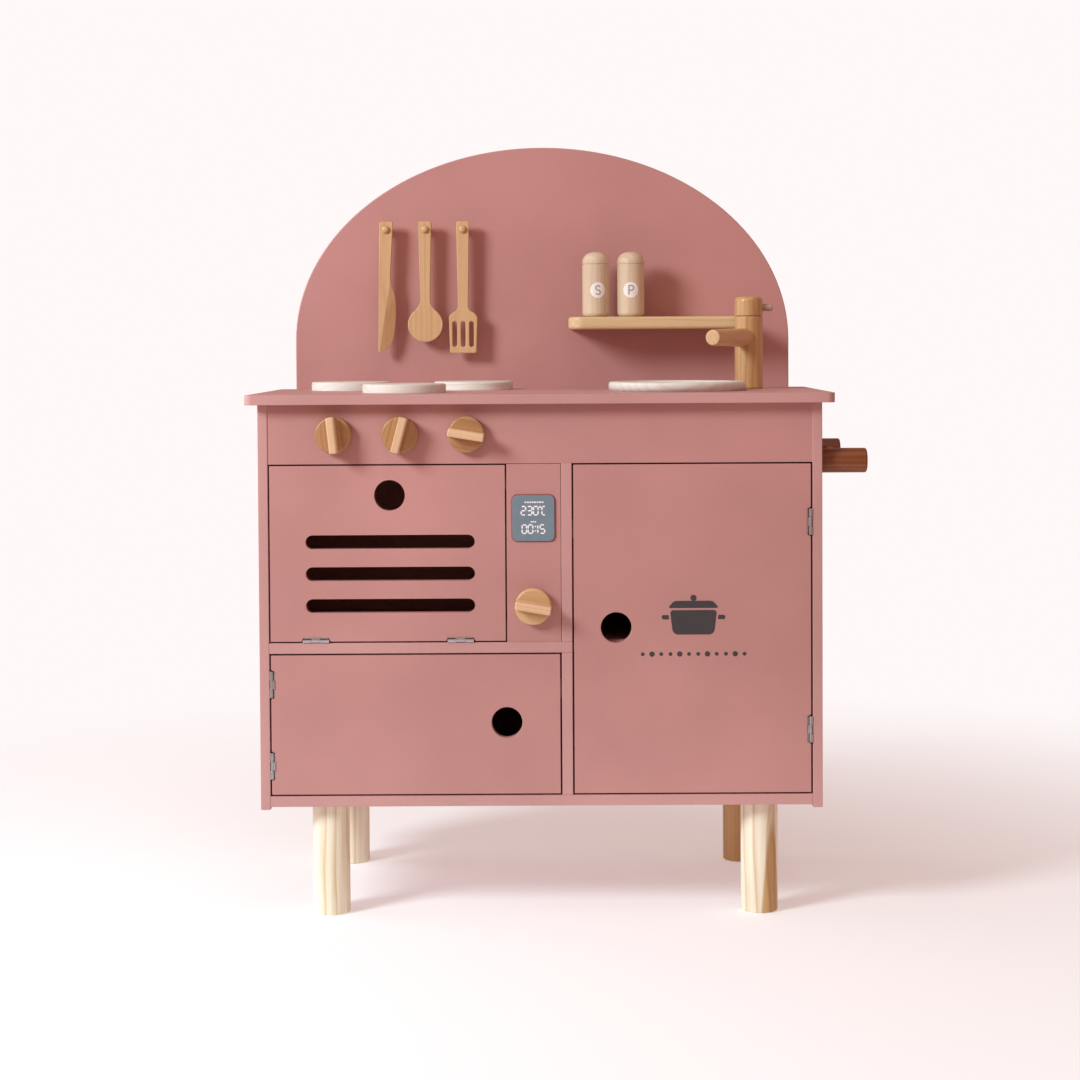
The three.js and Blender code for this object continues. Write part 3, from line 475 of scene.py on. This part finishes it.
def piece(name, shape, material, stands_for, place=(0, 0, 0), turn=None, grain=(0, 0, 0), replaces=True):
    """Makes a finished object. shape is in millimetres about the piece's own origin; place and
    turn put it in the row frame; grain is the piece's own place in the trunk."""
    bmesh.ops.recalc_face_normals(shape, faces=shape.faces)
    bmesh.ops.translate(shape, verts=shape.verts, vec=grain)
    bmesh.ops.scale(shape, verts=shape.verts, vec=(MM, MM, MM))
    mesh = bpy.data.meshes.new(name)
    shape.to_mesh(mesh)
    shape.free()
    for polygon in mesh.polygons:
        polygon.use_smooth = True
    mesh.materials.append(material)
    made = bpy.data.objects.new(name, mesh)
    bpy.context.scene.collection.objects.link(made)
    stand = Matrix.Translation(Vector(place) * MM) @ (turn or Matrix.Identity(4))
    made.matrix_world = stand @ Matrix.Translation(-Vector(grain) * MM)
    made.modifiers.new("normals", "WEIGHTED_NORMAL").keep_sharp = True
    bpy.context.view_layer.update()
    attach(made, BODY_OF[stands_for])
    if replaces:
        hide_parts(stands_for)


def about(axis, degrees):
    return Matrix.Rotation(math.radians(degrees), 4, axis)


TOWARDS_FRONT = about("X", 90)  # a piece's own Z runs to the front
ALONG_X = about("Y", 90)
ALONG_Y = about("X", -90)
LEVEL = about("Y", 90)  # lays down a piece that was turned by flat_grain
dice = random.Random(7)


def trunk(near=25, far=60):
    """A place in the trunk to saw a piece from."""
    angle = dice.uniform(0, math.tau)
    reach = dice.uniform(near, far)
    return (reach * math.cos(angle), reach * math.sin(angle), dice.uniform(-400, 400))


# ------------------------------------------------------------------ legs


def leg_profile(radius, height):
    return fillet([(0, 0, 0), (radius, 0, 2.2), (radius, height, 0), (0, height, 0)], steps=5)


# Where each leg is sawn from in the trunk. The front right one catches the heartwood's flame on
# its right and the rear right one is all heartwood.
LEG_GRAIN = {
    "leg_front_left": (44, 22, 0),
    "leg_front_right": (-20, 24.5, 0),
    "leg_rear_left": (-40, 34, 300),
    "leg_rear_right": (7, 9, -400),
}
for leg, grain in LEG_GRAIN.items():
    low, high, middle, size = extent(leg)
    shape = lathe(leg_profile(size.x / 2, size.z), 80)
    piece(leg, shape, PINE, leg, (middle.x, middle.y, 0), grain=grain)


# ------------------------------------------------------------------ knobs

KNOB_RADIUS = 18.75
KNOB_DISC = 10
KNOB_BAR = 8.5
KNOB_REACH = 25  # from the board's face to the front of the bar
KNOB_GAP = 0.3  # air between the board and the disc
KNOB_STEM_RADIUS = 4
KNOB_COLLAR_RADIUS = 6.5
KNOB_COLLAR_FRONT = -10.3
KNOB_COLLAR_REAR = -13.3
BAR_SUNK = 2  # how far the bar reaches into the disc
KNOB_GRIP_TURN = {"knob_1": -6, "knob_2": 15, "knob_3": 99.5, "knob_4": 100}


def knob_disc():
    """The round base, with its stem and the collar behind the board."""
    profile = [(0, KNOB_COLLAR_REAR, 0), (KNOB_COLLAR_RADIUS, KNOB_COLLAR_REAR, 0.8)]
    profile += [(KNOB_COLLAR_RADIUS, KNOB_COLLAR_FRONT, 0.5), (KNOB_STEM_RADIUS, KNOB_COLLAR_FRONT, 0)]
    profile += [(KNOB_STEM_RADIUS, KNOB_GAP, 0), (KNOB_RADIUS, KNOB_GAP, 1.2)]
    profile += [(KNOB_RADIUS, KNOB_DISC, 2.2), (0, KNOB_DISC, 0)]
    return lathe(fillet(profile, steps=5), 96)


def knob_grip():
    """The bar across the disc, whose ends follow the disc's rim."""
    half = KNOB_BAR / 2
    side = math.asin(half / KNOB_RADIUS)
    end_radius = KNOB_RADIUS - 0.2
    outline = []
    for start in (-side, math.pi - side):
        for k in range(9):
            angle = start + 2 * side * k / 8
            outline.append((end_radius * math.cos(angle), end_radius * math.sin(angle)))
    return moved(plate([outline], KNOB_REACH - KNOB_DISC + BAR_SUNK, 1.4, 4), z=KNOB_DISC - BAR_SUNK)


for knob, grip_turn in KNOB_GRIP_TURN.items():
    low, high, middle, size = extent(knob)
    centre = (middle.x, low.y + KNOB_REACH, middle.z)
    turn = TOWARDS_FRONT @ about("Z", 90 - grip_turn)
    lay = LEVEL  # the grain lies along the bar
    for name, shape, material in (
        (knob + "_disc", knob_disc(), BEECH if knob == "knob_4" else WARM_BEECH),
        (knob + "_grip", knob_grip(), BAR_BEECH),
    ):
        shape.transform(lay.inverted())
        piece(name, shape, material, knob, centre, turn @ lay, trunk())


# ------------------------------------------------------------------ towel rail

for post in ("towel_post_front", "towel_post_rear"):
    low, high, middle, size = extent(post)
    radius = size.z / 2
    profile = [(0, 0, 0), (radius, 0, 0), (radius, size.x, 2.4), (0, size.x, 0)]
    shape = lathe(fillet(profile, steps=6), 72)
    piece(post, shape, DARK_BEECH, post, (low.x, middle.y, middle.z), ALONG_X, trunk())

low, high, middle, size = extent("towel_bar")
shape = lathe(fillet([(0, 0, 0), (size.x / 2, 0, 1), (size.x / 2, size.y, 1), (0, size.y, 0)]), 48)
piece("towel_bar", shape, DARK_BEECH, "towel_bar", (middle.x, low.y, middle.z), ALONG_Y, trunk())


# ------------------------------------------------------------------ pegs and utensils

PEG_Z = extent("peg_knife")[2].z
for peg in ("peg_knife", "peg_spoon", "peg_turner"):
    low, high, middle, size = extent(peg)
    radius = size.x / 2
    profile = [(0, 0, 0), (radius, 0, 0), (radius, size.y, 3.2), (0, size.y, 0)]
    shape = lathe(fillet(profile, steps=10), 48)
    piece(peg, shape, BEECH, peg, (middle.x, high.y, middle.z), TOWARDS_FRONT, trunk())


PEG_HOLE_RADIUS = 4.0
HANDLE_CHAMFER = 1.5  # across the upper corners of a handle


def curve_points(start, control, end, steps=10):
    """Points on a quadratic curve, the first left out."""
    a, b, c = Vector(start), Vector(control), Vector(end)
    ts = ((k + 1) / steps for k in range(steps))
    return [tuple(a * (1 - t) ** 2 + b * 2 * t * (1 - t) + c * t * t) for t in ts]


def knife_outline(top):
    points = [(-7.2 + HANDLE_CHAMFER, top), (-7.2, top - HANDLE_CHAMFER), (-9.2, 582.5), (-8.2, 581)]
    for start, control, end in (
        ((-8.2, 581), (4, 582), (8, 600)),
        ((8, 600), (11.5, 622), (10, 641)),
        ((10, 641), (9, 648), (6.3, 655)),
        ((6.3, 655), (4.9, 660), (4.9, 668)),
    ):
        points += curve_points(start, control, end)
    return points + [(8.2, top - HANDLE_CHAMFER), (8.2 - HANDLE_CHAMFER, top)]


def spoon_outline(top):
    bowl_z = 612
    radius = 19.8
    left = [(-7.5 + HANDLE_CHAMFER, top), (-7.5, top - HANDLE_CHAMFER), (-5.6, 640)]
    start = math.radians(125)
    sweep = math.radians(290)
    bowl = []
    for k in range(61):
        angle = start + sweep * k / 60
        bowl.append((radius * math.cos(angle), bowl_z + radius * math.sin(angle)))
    left += curve_points(left[-1], (-5.8, 634), bowl[0], 6)
    right = curve_points(bowl[-1], (5.8, 634), (5.6, 640), 6)
    return left + bowl[1:] + right + [(7.5, top - HANDLE_CHAMFER), (7.5 - HANDLE_CHAMFER, top)]


def turner_outline(top):
    left = [(-7.3 + HANDLE_CHAMFER, top), (-7.3, top - HANDLE_CHAMFER), (-5.8, 633)]
    left += curve_points((-5.8, 633), (-6.4, 628.5), (-9, 627), 6)
    left += curve_points((-9, 627), (-16.2, 623.5), (-16.2, 619), 8)
    left += [(-15, 581), (-13.5, 579.5)]
    return left + [(-x, z) for x, z in reversed(left)]


def arc_angles(start, end, steps=12):
    return [math.radians(start + (end - start) * k / steps) for k in range(steps + 1)]


def turner_slots():
    half = 2.6
    low_z = 589
    high_z = 613
    slots = []
    for middle in (-9.5, 0, 9.5):
        low_end = [(middle + half * math.cos(a), low_z + half * math.sin(a)) for a in arc_angles(180, 360)]
        high_end = [(middle + half * math.cos(a), high_z + half * math.sin(a)) for a in arc_angles(0, 180)]
        slots.append(low_end + high_end)
    return slots


def ground_blade(shape, thickness):
    """Grinds a flat facet from the upper right of the blade down to its tip."""
    direction = Vector((-12.5, -89, 0))
    slope = math.radians(25)
    side = Vector((1, 0, 0)) - direction * direction.x / direction.length_squared
    normal = side.normalized() * math.sin(slope) + Vector((0, 0, math.cos(slope)))
    ground = bmesh.ops.bisect_plane(
        shape,
        geom=shape.verts[:] + shape.edges[:] + shape.faces[:],
        plane_co=(6, 669, thickness),
        plane_no=normal,
        clear_outer=True,
    )
    rim = [item for item in ground["geom_cut"] if isinstance(item, bmesh.types.BMEdge)]
    bmesh.ops.contextual_create(shape, geom=rim)
    return shape


def hang(name, outline, holes=(), ground=False):
    """A utensil on its peg. It is drawn as (across, height) and stood up facing the front."""
    low, high, middle, size = extent(name)
    hole = circle(0, PEG_Z, PEG_HOLE_RADIUS, 40)
    centre = extent("peg_" + name)[2].x
    shape = plate([outline(high.z), hole, *holes], size.y, 0.8, 4)
    if ground:
        ground_blade(shape, size.y)
    shape.transform(about("X", 90))
    piece(name, shape, BEECH, name, (centre, high.y, 0), grain=trunk(30, 55))


hang("knife", knife_outline, ground=True)
hang("spoon", spoon_outline)
hang("turner", turner_outline, turner_slots())


# ------------------------------------------------------------------ spice shelf and shakers

low, high, middle, size = extent("spice_shelf")
outline = fillet(
    [(low.x, low.y, 17), (high.x, low.y, 3), (high.x, high.y, 0), (low.x, high.y, 0)], True, 10
)
shape = plate([[(x - low.x, y - low.y) for x, y in outline]], size.z, 3.6, 5)
shape.transform(about("Y", -90))  # the grain runs along the shelf
piece("spice_shelf", shape, PALE_BEECH, "spice_shelf", (low.x, low.y, low.z), LEVEL, trunk())

SHAKER_SPLIT = 14  # from the top of a shaker down to the joint of its cap
SHAKER_LABEL_Z = 30
SHAKER_LABEL_RADIUS = 8.8
CAP_GAP = 0.7  # half of the groove under the cap, with its rounded lips
CAP_SIDE = 1.2  # the cap's straight side
LETTER_SCALE = 1.25


def shaker_shape(radius, height):
    """A turned shaker whose rounded cap meets the body at a fine groove."""
    split = height - SHAKER_SPLIT
    foot = fillet([(0, 0, 0), (radius, 0, 5), (radius, split - CAP_GAP, 0)], steps=8)
    groove = [(radius - 0.15, split - 0.35), (radius - 0.9, split), (radius - 0.15, split + 0.35)]
    dome = [(radius, split + CAP_GAP)]
    rise = SHAKER_SPLIT - CAP_GAP - CAP_SIDE
    spring = split + (CAP_GAP + CAP_SIDE)
    for angle in arc_angles(0, 90):
        dome.append((radius * math.cos(angle) ** 0.8, spring + rise * math.sin(angle)))
    return lathe(foot + groove + dome, 72)


def ribbon(points, width):
    """A flat strip along a line of points, with square ends."""
    shape = bmesh.new()
    rows = []
    for i, point in enumerate(points):
        before = Vector(points[max(i - 1, 0)])
        after = Vector(points[min(i + 1, len(points) - 1)])
        side = (after - before).normalized().orthogonal() * width / 2
        here = Vector(point)
        rows.append([shape.verts.new((*(here + side), 0)), shape.verts.new((*(here - side), 0))])
    for (a, b), (c, d) in zip(rows, rows[1:]):
        shape.faces.new((a, b, d, c))
    return shape


def disc(radius, rings=6, segments=48):
    return lathe([(0, 0), *((radius * (k + 1) / rings, 0) for k in range(rings))], segments)


def wrapped(shape, radius, lift, shift=0):
    """Bends a flat (across, up) shape round an upright cylinder's front, a little proud."""
    for vert in shape.verts:
        angle = (vert.co.x + shift) / radius
        out = radius + lift
        vert.co = (out * math.sin(angle), -out * math.cos(angle), vert.co.y)
    return shape


def letter_s():
    upper = [(2.0 * math.cos(a), 1.95 + 1.95 * math.sin(a)) for a in arc_angles(25, 270, 14)]
    lower = [(2.0 * math.cos(a), -1.95 + 1.95 * math.sin(a)) for a in arc_angles(90, -155, 14)]
    return [ribbon(upper + lower[1:], 1.05)]


def letter_p():
    bowl = [(-1.7, 3.9), (0.3, 3.9)]
    bowl += [(0.3 + 2.1 * math.cos(a), 1.8 + 2.1 * math.sin(a)) for a in arc_angles(80, -90, 12)]
    bowl += [(-1.7, -0.3)]
    return [ribbon([(-1.75, 4.4), (-1.75, -4.2)], 1.1), ribbon(bowl, 1.05)]


for shaker, letter, shift in (("salt_shaker", letter_s, 2.2), ("pepper_shaker", letter_p, -0.4)):
    low, high, middle, size = extent(shaker)
    radius = size.x / 2
    base = (middle.x, middle.y, low.z)
    piece(shaker, shaker_shape(radius, size.z), SHAKER_BEECH, shaker, base, grain=trunk())
    spot = wrapped(disc(SHAKER_LABEL_RADIUS), radius, 0.12, shift)
    place = (middle.x, middle.y, low.z + SHAKER_LABEL_Z)
    piece(shaker + "_label", spot, LABEL, shaker, place, replaces=False)
    strokes = merged(*letter())
    bmesh.ops.scale(strokes, verts=strokes.verts, vec=(LETTER_SCALE, LETTER_SCALE, 1))
    strokes = wrapped(strokes, radius, 0.2, shift)
    piece(shaker + "_letter", strokes, INK, shaker, place, replaces=False)


# ------------------------------------------------------------------ tap

SPOUT_TURN = 28
SPOUT_LENGTH = 97
TENON_RADIUS = 8  # of the post, down through the worktop
CAP_PEG_RADIUS = 6
CAP_PEG_DEPTH = 9
low, high, middle, size = extent("faucet_post")
post_centre = (middle.x, middle.y)
radius = size.x / 2
worktop = extent("countertop")[1].z
profile = [(0, low.z - worktop, 0), (TENON_RADIUS, low.z - worktop, 1)]
profile += [(TENON_RADIUS, 0, 0), (radius, 0, 2.2)]
profile += [(radius, high.z - worktop, 1.3), (0, high.z - worktop, 0)]
shape = lathe(fillet(profile, steps=5), 80)
piece("faucet_post", shape, TAP_BEECH, "faucet_post", (*post_centre, worktop), grain=trunk())

spout_z = extent("faucet_spout")[2].z
profile = [(0, 6, 0), (10.5, 6, 0), (10.5, 15.5, 0), (8.5, SPOUT_LENGTH, 1.6), (0, SPOUT_LENGTH, 0)]
shape = lathe(fillet(profile, steps=6), 64)
turn = about("Z", -SPOUT_TURN) @ TOWARDS_FRONT
piece("faucet_spout", shape, BEECH, "faucet_spout", (*post_centre, spout_z), turn, trunk())

cap_low = extent("faucet_post")[1].z
cap_top = extent("faucet_cap")[1].z - cap_low
profile = [(0, -CAP_PEG_DEPTH, 0), (CAP_PEG_RADIUS, -CAP_PEG_DEPTH, 0.5), (CAP_PEG_RADIUS, 0.3, 0)]
profile += [(radius, 0.3, 1.3), (radius, cap_top, 5.2), (0, cap_top, 0)]
shape = lathe(fillet(profile, steps=8), 80)
piece("faucet_cap", shape, TAP_BEECH, "faucet_cap", (*post_centre, cap_low), grain=trunk())

low, high, middle, size = extent("faucet_lever")
reach = high.x - post_centre[0]
profile = [(0, 8.5, 0), (size.z / 2, 8.5, 0), (size.z / 2, reach, 1.9), (0, reach, 0)]
shape = lathe(fillet(profile, steps=7), 40)
piece("faucet_lever", shape, LEVER_BEECH, "faucet_lever", (*post_centre, middle.z), ALONG_X, trunk())


# ------------------------------------------------------------------ sink and hob discs


SINK_HOLE_RADIUS = 60
BASIN_DEPTH = 42
BASIN_WALL = 3


def flat_grain(shape):
    """Turns a level piece so that its grain, along its own Z, lies across the kitchen."""
    shape.transform(about("Y", -90))
    return shape


low, high, middle, size = extent("sink_rim")
outer = size.x / 2
inner = SINK_HOLE_RADIUS
top = size.z
profile = [(inner, 0, 0), (outer, 0, 0), (outer, top, 3.2), (inner, top, 3.2), (inner, 0, 0)]
shape = lathe(fillet(profile, steps=7), 128)
place = (middle.x, middle.y, low.z)
piece("sink_rim", flat_grain(shape), LIMED, "sink_rim", place, LEVEL, trunk(40, 90))

profile = [(0, -BASIN_DEPTH, 0), (50, -BASIN_DEPTH, 10), (63.4, 0, 0), (SINK_HOLE_RADIUS, 0, 0)]
profile += [(47, BASIN_WALL - BASIN_DEPTH, 12), (0, BASIN_WALL - BASIN_DEPTH, 0)]
shape = lathe(fillet(profile, steps=8), 112)
place = (middle.x, middle.y, extent("sink_basin")[1].z)
piece("sink_basin", flat_grain(shape), LIMED, "sink_basin", place, LEVEL, trunk(40, 90))

for burner in ("burner_rear_left", "burner_rear_right", "burner_front"):
    low, high, middle, size = extent(burner)
    radius = size.x / 2
    profile = [(0, 0, 0), (radius, 0, 0.4), (radius, size.z, 2.4), (0, size.z, 0)]
    shape = flat_grain(lathe(fillet(profile, steps=6), 112))
    piece(burner, shape, LIMED, burner, (middle.x, middle.y, low.z), LEVEL, trunk(40, 90))


# ------------------------------------------------------------------ screws and strike plates


def screw_head(radius, thickness):
    """A flat head with a cross recess, on Z = 0."""
    arm = radius * 0.62
    half = radius * 0.15
    cross = [(half, half), (half, arm), (-half, arm), (-half, half), (-arm, half), (-arm, -half)]
    cross += [(-half, -half), (-half, -arm), (half, -arm), (half, -half), (arm, -half), (arm, half)]
    edge = thickness * 0.2
    base = lathe([(0, 0), (radius * 0.9, 0), (radius * 0.9, thickness * 0.4), (0, thickness * 0.4)], 24)
    cap = moved(plate([circle(0, 0, radius, 32), cross], thickness * 0.7, edge, 2), z=thickness * 0.3)
    return merged(base, cap)


def facing(direction):
    """Turns a piece's own Z to a direction."""
    return Vector(direction).to_track_quat("Z", "Y").to_matrix().to_4x4()


def screws(name, stands_for, radius, thickness, direction, places):
    """Screw heads in one piece, all facing the same way, at places in the row frame."""
    first = Vector(places[0])
    back = facing(direction).inverted()
    heads = []
    for place in places:
        offset = back @ (Vector(place) - first)
        heads.append(moved(screw_head(radius, thickness), *offset))
    piece(name, merged(*heads), STEEL, stands_for, first, facing(direction), replaces=False)


LEAF_THICKNESS = 1
LEAF_SCREW_SPREAD = 9  # from the middle of a leaf to each of its screws
LEAF_SCREW_DEPTH = 3.4  # from a leaf's rear end to its screws
CABINET_MIDDLE_X = -18
HINGE_OPENS = {"oven": (0, 0, 1), "lower": (1, 0, 0), "right": (-1, 0, 0)}
for door, opens in HINGE_OPENS.items():
    across = 2 if door == "oven" else 0
    along = 2 - across
    for hinge in ("1", "2"):
        for leaf, away in (("fixed", Vector(opens)), ("door", -Vector(opens))):
            node = f"{door}_hinge_{hinge}_{leaf}_leaf"
            low, high, middle, size = extent(node)
            spot = Vector(middle)
            spot.y = high.y - LEAF_SCREW_DEPTH
            spot[across] = (low if away[across] > 0 else high)[across] + away[across] * LEAF_THICKNESS
            spots = []
            for side in (-1, 1):
                place = spot.copy()
                place[along] += side * LEAF_SCREW_SPREAD
                spots.append(place)
            screws(node + "_screws", node, 1.9, 0.5, away, spots)

rear = extent("arched_backboard")[1].y
places = [(CABINET_MIDDLE_X + x, rear, z) for z in (463, 512) for x in (-268, -95, 95, 268)]
screws("backboard_screws", "arched_backboard", 4, 1.2, (0, 1, 0), places)
rear = extent("rear_panel")[1].y
shelf_z = extent("oven_shelf")[2].z
floor_z = extent("bottom_panel")[2].z + 12
places = [(CABINET_MIDDLE_X + x, rear, z) for z in (shelf_z, floor_z) for x in (-220, -110, 0, 130, 230)]
screws("rear_panel_screws", "rear_panel", 3, 0.9, (0, 1, 0), places)
for side, direction in (("left", -1), ("right", 1)):
    low, high, middle, size = extent("side_panel_" + side)
    outer = low.x if direction < 0 else high.x
    places = [(outer, y, z) for z in (122, shelf_z, 498) for y in (-90, 100)]
    if side == "right":
        places = [place for place in places if place[2] < 498]
    screws(f"side_screws_{side}", "side_panel_" + side, 4, 1.0, (direction, 0, 0), places)

for catch, door in (("oven", "oven_door"), ("lower", "lower_door"), ("right", "right_door")):
    low, high, middle, size = extent("magnet_catch_" + catch)
    door_rear = extent(door)[1].y
    x = {"oven": low.x + 5, "lower": middle.x, "right": middle.x}[catch]
    strike = lathe(fillet([(0, 0, 0), (4.6, 0, 0), (4.6, 0.2, 0.08), (0, 0.2, 0)]), 40)
    name = door + "_strike_plate"
    piece(name, strike, STEEL, door, (x, door_rear, middle.z), facing((0, 1, 0)), replaces=False)


# ------------------------------------------------------------------ display

low, high, middle, size = extent("display_plate")
half_x, half_z = size.x / 2, size.z / 2
corners = [(-half_x, -half_z), (half_x, -half_z), (half_x, half_z), (-half_x, half_z)]
outline = fillet([(x, z, 5.5) for x, z in corners], True, 8)
shape = plate([outline], size.y, 0.5, 3)
piece("display_plate", shape, DISPLAY, "display_plate", (middle.x, high.y, middle.z), TOWARDS_FRONT)

# A thin red-brown sheet just behind the plate, a little larger than the plate: painted shadow of the
# recess round the display, not a real part.
outline = fillet([(x * 1.045, z * 1.04, 6.2) for x, z in corners], True, 8)
shape = plate([outline], 0.35, 0.1, 2)
place = (middle.x, high.y, middle.z)
piece("display_recess_painted_shadow", shape, PAINTED_RECESS_SHADOW, "display_plate", place, TOWARDS_FRONT, replaces=False)

SEGMENTS = {
    "0": "abcdef",
    "1": "bc",
    "2": "abged",
    "3": "abgcd",
    "5": "afgcd",
    "C": "afed",
}


def bar(x0, y0, x1, y1, width=1.45):
    """A display segment with pointed ends."""
    along = Vector((x1 - x0, y1 - y0)).normalized()
    side = along.orthogonal() * width / 2
    start = Vector((x0, y0)) + along * 0.25
    end = Vector((x1, y1)) - along * 0.25
    inset = along * width / 2
    ring = [start, start + inset + side, end - inset + side, end, end - inset - side, start + inset - side]
    return [tuple(point) for point in ring]


def digit(mark, x, y, wide=4.6, tall=8.6):
    left, right, low, middle, top = x, x + wide, y, y + tall / 2, y + tall
    places = {
        "a": (left, top, right, top),
        "b": (right, top, right, middle),
        "c": (right, middle, right, low),
        "d": (left, low, right, low),
        "e": (left, middle, left, low),
        "f": (left, top, left, middle),
        "g": (left, middle, right, middle),
    }
    return [bar(*places[segment]) for segment in SEGMENTS[mark]]


def block(x, y, wide, tall):
    return [(x, y), (x + wide, y), (x + wide, y + tall), (x, y + tall)]


TEMPERATURE_Z = 3.4
TIME_Z = -15.4
marks = []
for mark, x, wide in (("2", -12.4, 4.6), ("3", -6.1, 4.6), ("0", 0.2, 4.6), ("C", 8.8, 3.6)):
    marks += digit(mark, x, TEMPERATURE_Z, wide)
for mark, x in (("0", -11.6), ("0", -5.3), ("1", -0.2), ("5", 6.8)):
    marks += digit(mark, x, TIME_Z)
marks += [circle(7.0, 11.4, 1.1, 20), block(1.3, -13.6, 1.3, 1.3), block(1.3, -9.2, 1.3, 1.3)]
marks += [block(-9 + 2.5 * k, 15.6, 1.9, 1.5) for k in range(8)]
marks += [block(-2.6 + 2.0 * k, -4.4, 1.4, 1.5) for k in range(3)]
shape = merged(*(plate([mark], 0.24, 0.02, 1) for mark in marks))
place = (middle.x, low.y + 0.1, middle.z)
piece("display_digits", shape, DIGITS, "display_plate", place, TOWARDS_FRONT, replaces=False)


# ------------------------------------------------------------------ the door's printed picture


PRINT_THICKNESS = 0.3
PICTURE_X = 138
PICTURE_Z = 311


def printed(outline):
    return plate([outline], PRINT_THICKNESS, 0.02, 1)


def pot_picture():
    """A generic cooking pot with its lid."""
    body = fillet([(-24, 6, 3), (-21, -19, 6), (21, -19, 6), (24, 6, 3)], True, 6)
    lid = fillet([(-26, 8.2, 1), (26, 8.2, 1), (20, 15.5, 7), (-20, 15.5, 7)], True, 6)
    handle = circle(0, 18.6, 3.1, 28)
    ears = [
        fillet([(s * 25.4, 1, 0.8), (s * 32.5, 1, 2), (s * 32.5, -3.4, 2), (s * 24.9, -3.4, 0.8)], True, 5)
        for s in (-1, 1)
    ]
    return [printed(outline) for outline in (body, lid, handle, *ears)]


def dots():
    """A row of dots, in place of words."""
    shapes = []
    for k in range(12):
        radius = 2.7 if k % 3 == 1 else 1.9
        shapes.append(printed(circle(-52 + 104 * k / 11, -39, radius, 24)))
    return shapes


door_low = extent("right_door")[0]
place = (PICTURE_X, door_low.y + 0.05, PICTURE_Z)
picture = merged(*pot_picture(), *dots())
piece("door_picture", picture, DARK_PRINT, "right_door", place, TOWARDS_FRONT, replaces=False)


# ------------------------------------------------------------------ floor, light and camera

# Lengths are in metres from here on.
FLOOR_RADIUS = 1.7
BACKGROUND = srgb(255, 248, 248)
FILL_COLOUR = (1.0, 0.57, 0.47, 1)
FILL_STRENGTH = 0.48
LIGHT_TARGET = Vector((0, 0, 0.45))
CAMERA_PLACE = (0.0086, -2.4005, 0.592)
CAMERA_DOWN = 1.913  # degrees below level
CAMERA_ROLL = -0.299  # degrees about its own line of sight

floor_mesh = bpy.data.meshes.new("floor")
ground = bmesh.new()
bmesh.ops.create_circle(ground, cap_ends=True, segments=96, radius=FLOOR_RADIUS)
ground.to_mesh(floor_mesh)
ground.free()
floor = bpy.data.objects.new("floor", floor_mesh)
bpy.context.scene.collection.objects.link(floor)


def floor_material():
    """Pale and matt near the kitchen, and clear further out, where the background takes over."""
    shade = Shade("pale_floor")
    flat = shade.scaled((1, 1, 0))
    reach = shade.node("ShaderNodeVectorMath", {0: flat}, operation="LENGTH").outputs["Value"]
    alpha = shade.ramp(shade.maths("DIVIDE", reach, 1.6), [(0.16, 1), (0.9, 0)], True)
    shade.set(Base_Color=srgb(228, 236, 238), Roughness=0.85, Alpha=alpha)
    shade.set(Emission_Color=BACKGROUND, Emission_Strength=0.3)
    return shade.material


floor.data.materials.append(floor_material())
world = bpy.data.worlds.new("studio")
bpy.context.scene.world = world
world.use_nodes = True
tree = world.node_tree
seen = tree.nodes["Background"]
seen.inputs["Color"].default_value = BACKGROUND
fill = tree.nodes.new("ShaderNodeBackground")
fill.inputs["Color"].default_value = FILL_COLOUR
fill.inputs["Strength"].default_value = FILL_STRENGTH
rays = tree.nodes.new("ShaderNodeLightPath")
choice = tree.nodes.new("ShaderNodeMixShader")
tree.links.new(rays.outputs["Is Camera Ray"], choice.inputs[0])
tree.links.new(fill.outputs[0], choice.inputs[1])
tree.links.new(seen.outputs[0], choice.inputs[2])
tree.links.new(choice.outputs[0], tree.nodes["World Output"].inputs["Surface"])


def softbox(name, direction, distance, size, power, colour):
    lamp = bpy.data.lights.new(name, "AREA")
    lamp.shape = "DISK"
    lamp.size = size
    lamp.energy = power
    lamp.color = colour
    made = bpy.data.objects.new(name, lamp)
    bpy.context.scene.collection.objects.link(made)
    away = Vector(direction).normalized()
    made.location = LIGHT_TARGET + away * distance
    made.rotation_euler = away.to_track_quat("Z", "Y").to_euler()


softbox("key", (-1.12, -0.95, 0.72), 2.8, 0.9, 56, (0.98, 1.085, 1.13))
softbox("rim", (-1, 0.12, 0.1), 2.2, 1.4, 11, (0.92, 1, 1.1))
softbox("top", (0.1, -0.45, 1.0), 2.6, 1.4, 5, (1, 1, 1))

bpy.context.scene.view_settings.view_transform = "Standard"
bpy.context.scene.view_settings.look = "None"

camera = bpy.data.objects.new("camera", bpy.data.cameras.new("camera"))
bpy.context.scene.collection.objects.link(camera)
camera.data.lens = 74.127
camera.data.sensor_width = 36
camera.data.shift_x = -0.0239
camera.data.shift_y = -0.115
camera.location = CAMERA_PLACE
aim = about("X", 90 - CAMERA_DOWN) @ about("Z", CAMERA_ROLL)
camera.rotation_euler = aim.to_euler()
camera.data.clip_start = 0.05
camera.data.clip_end = 50
bpy.context.scene.camera = camera

bpy.context.view_layer.update()
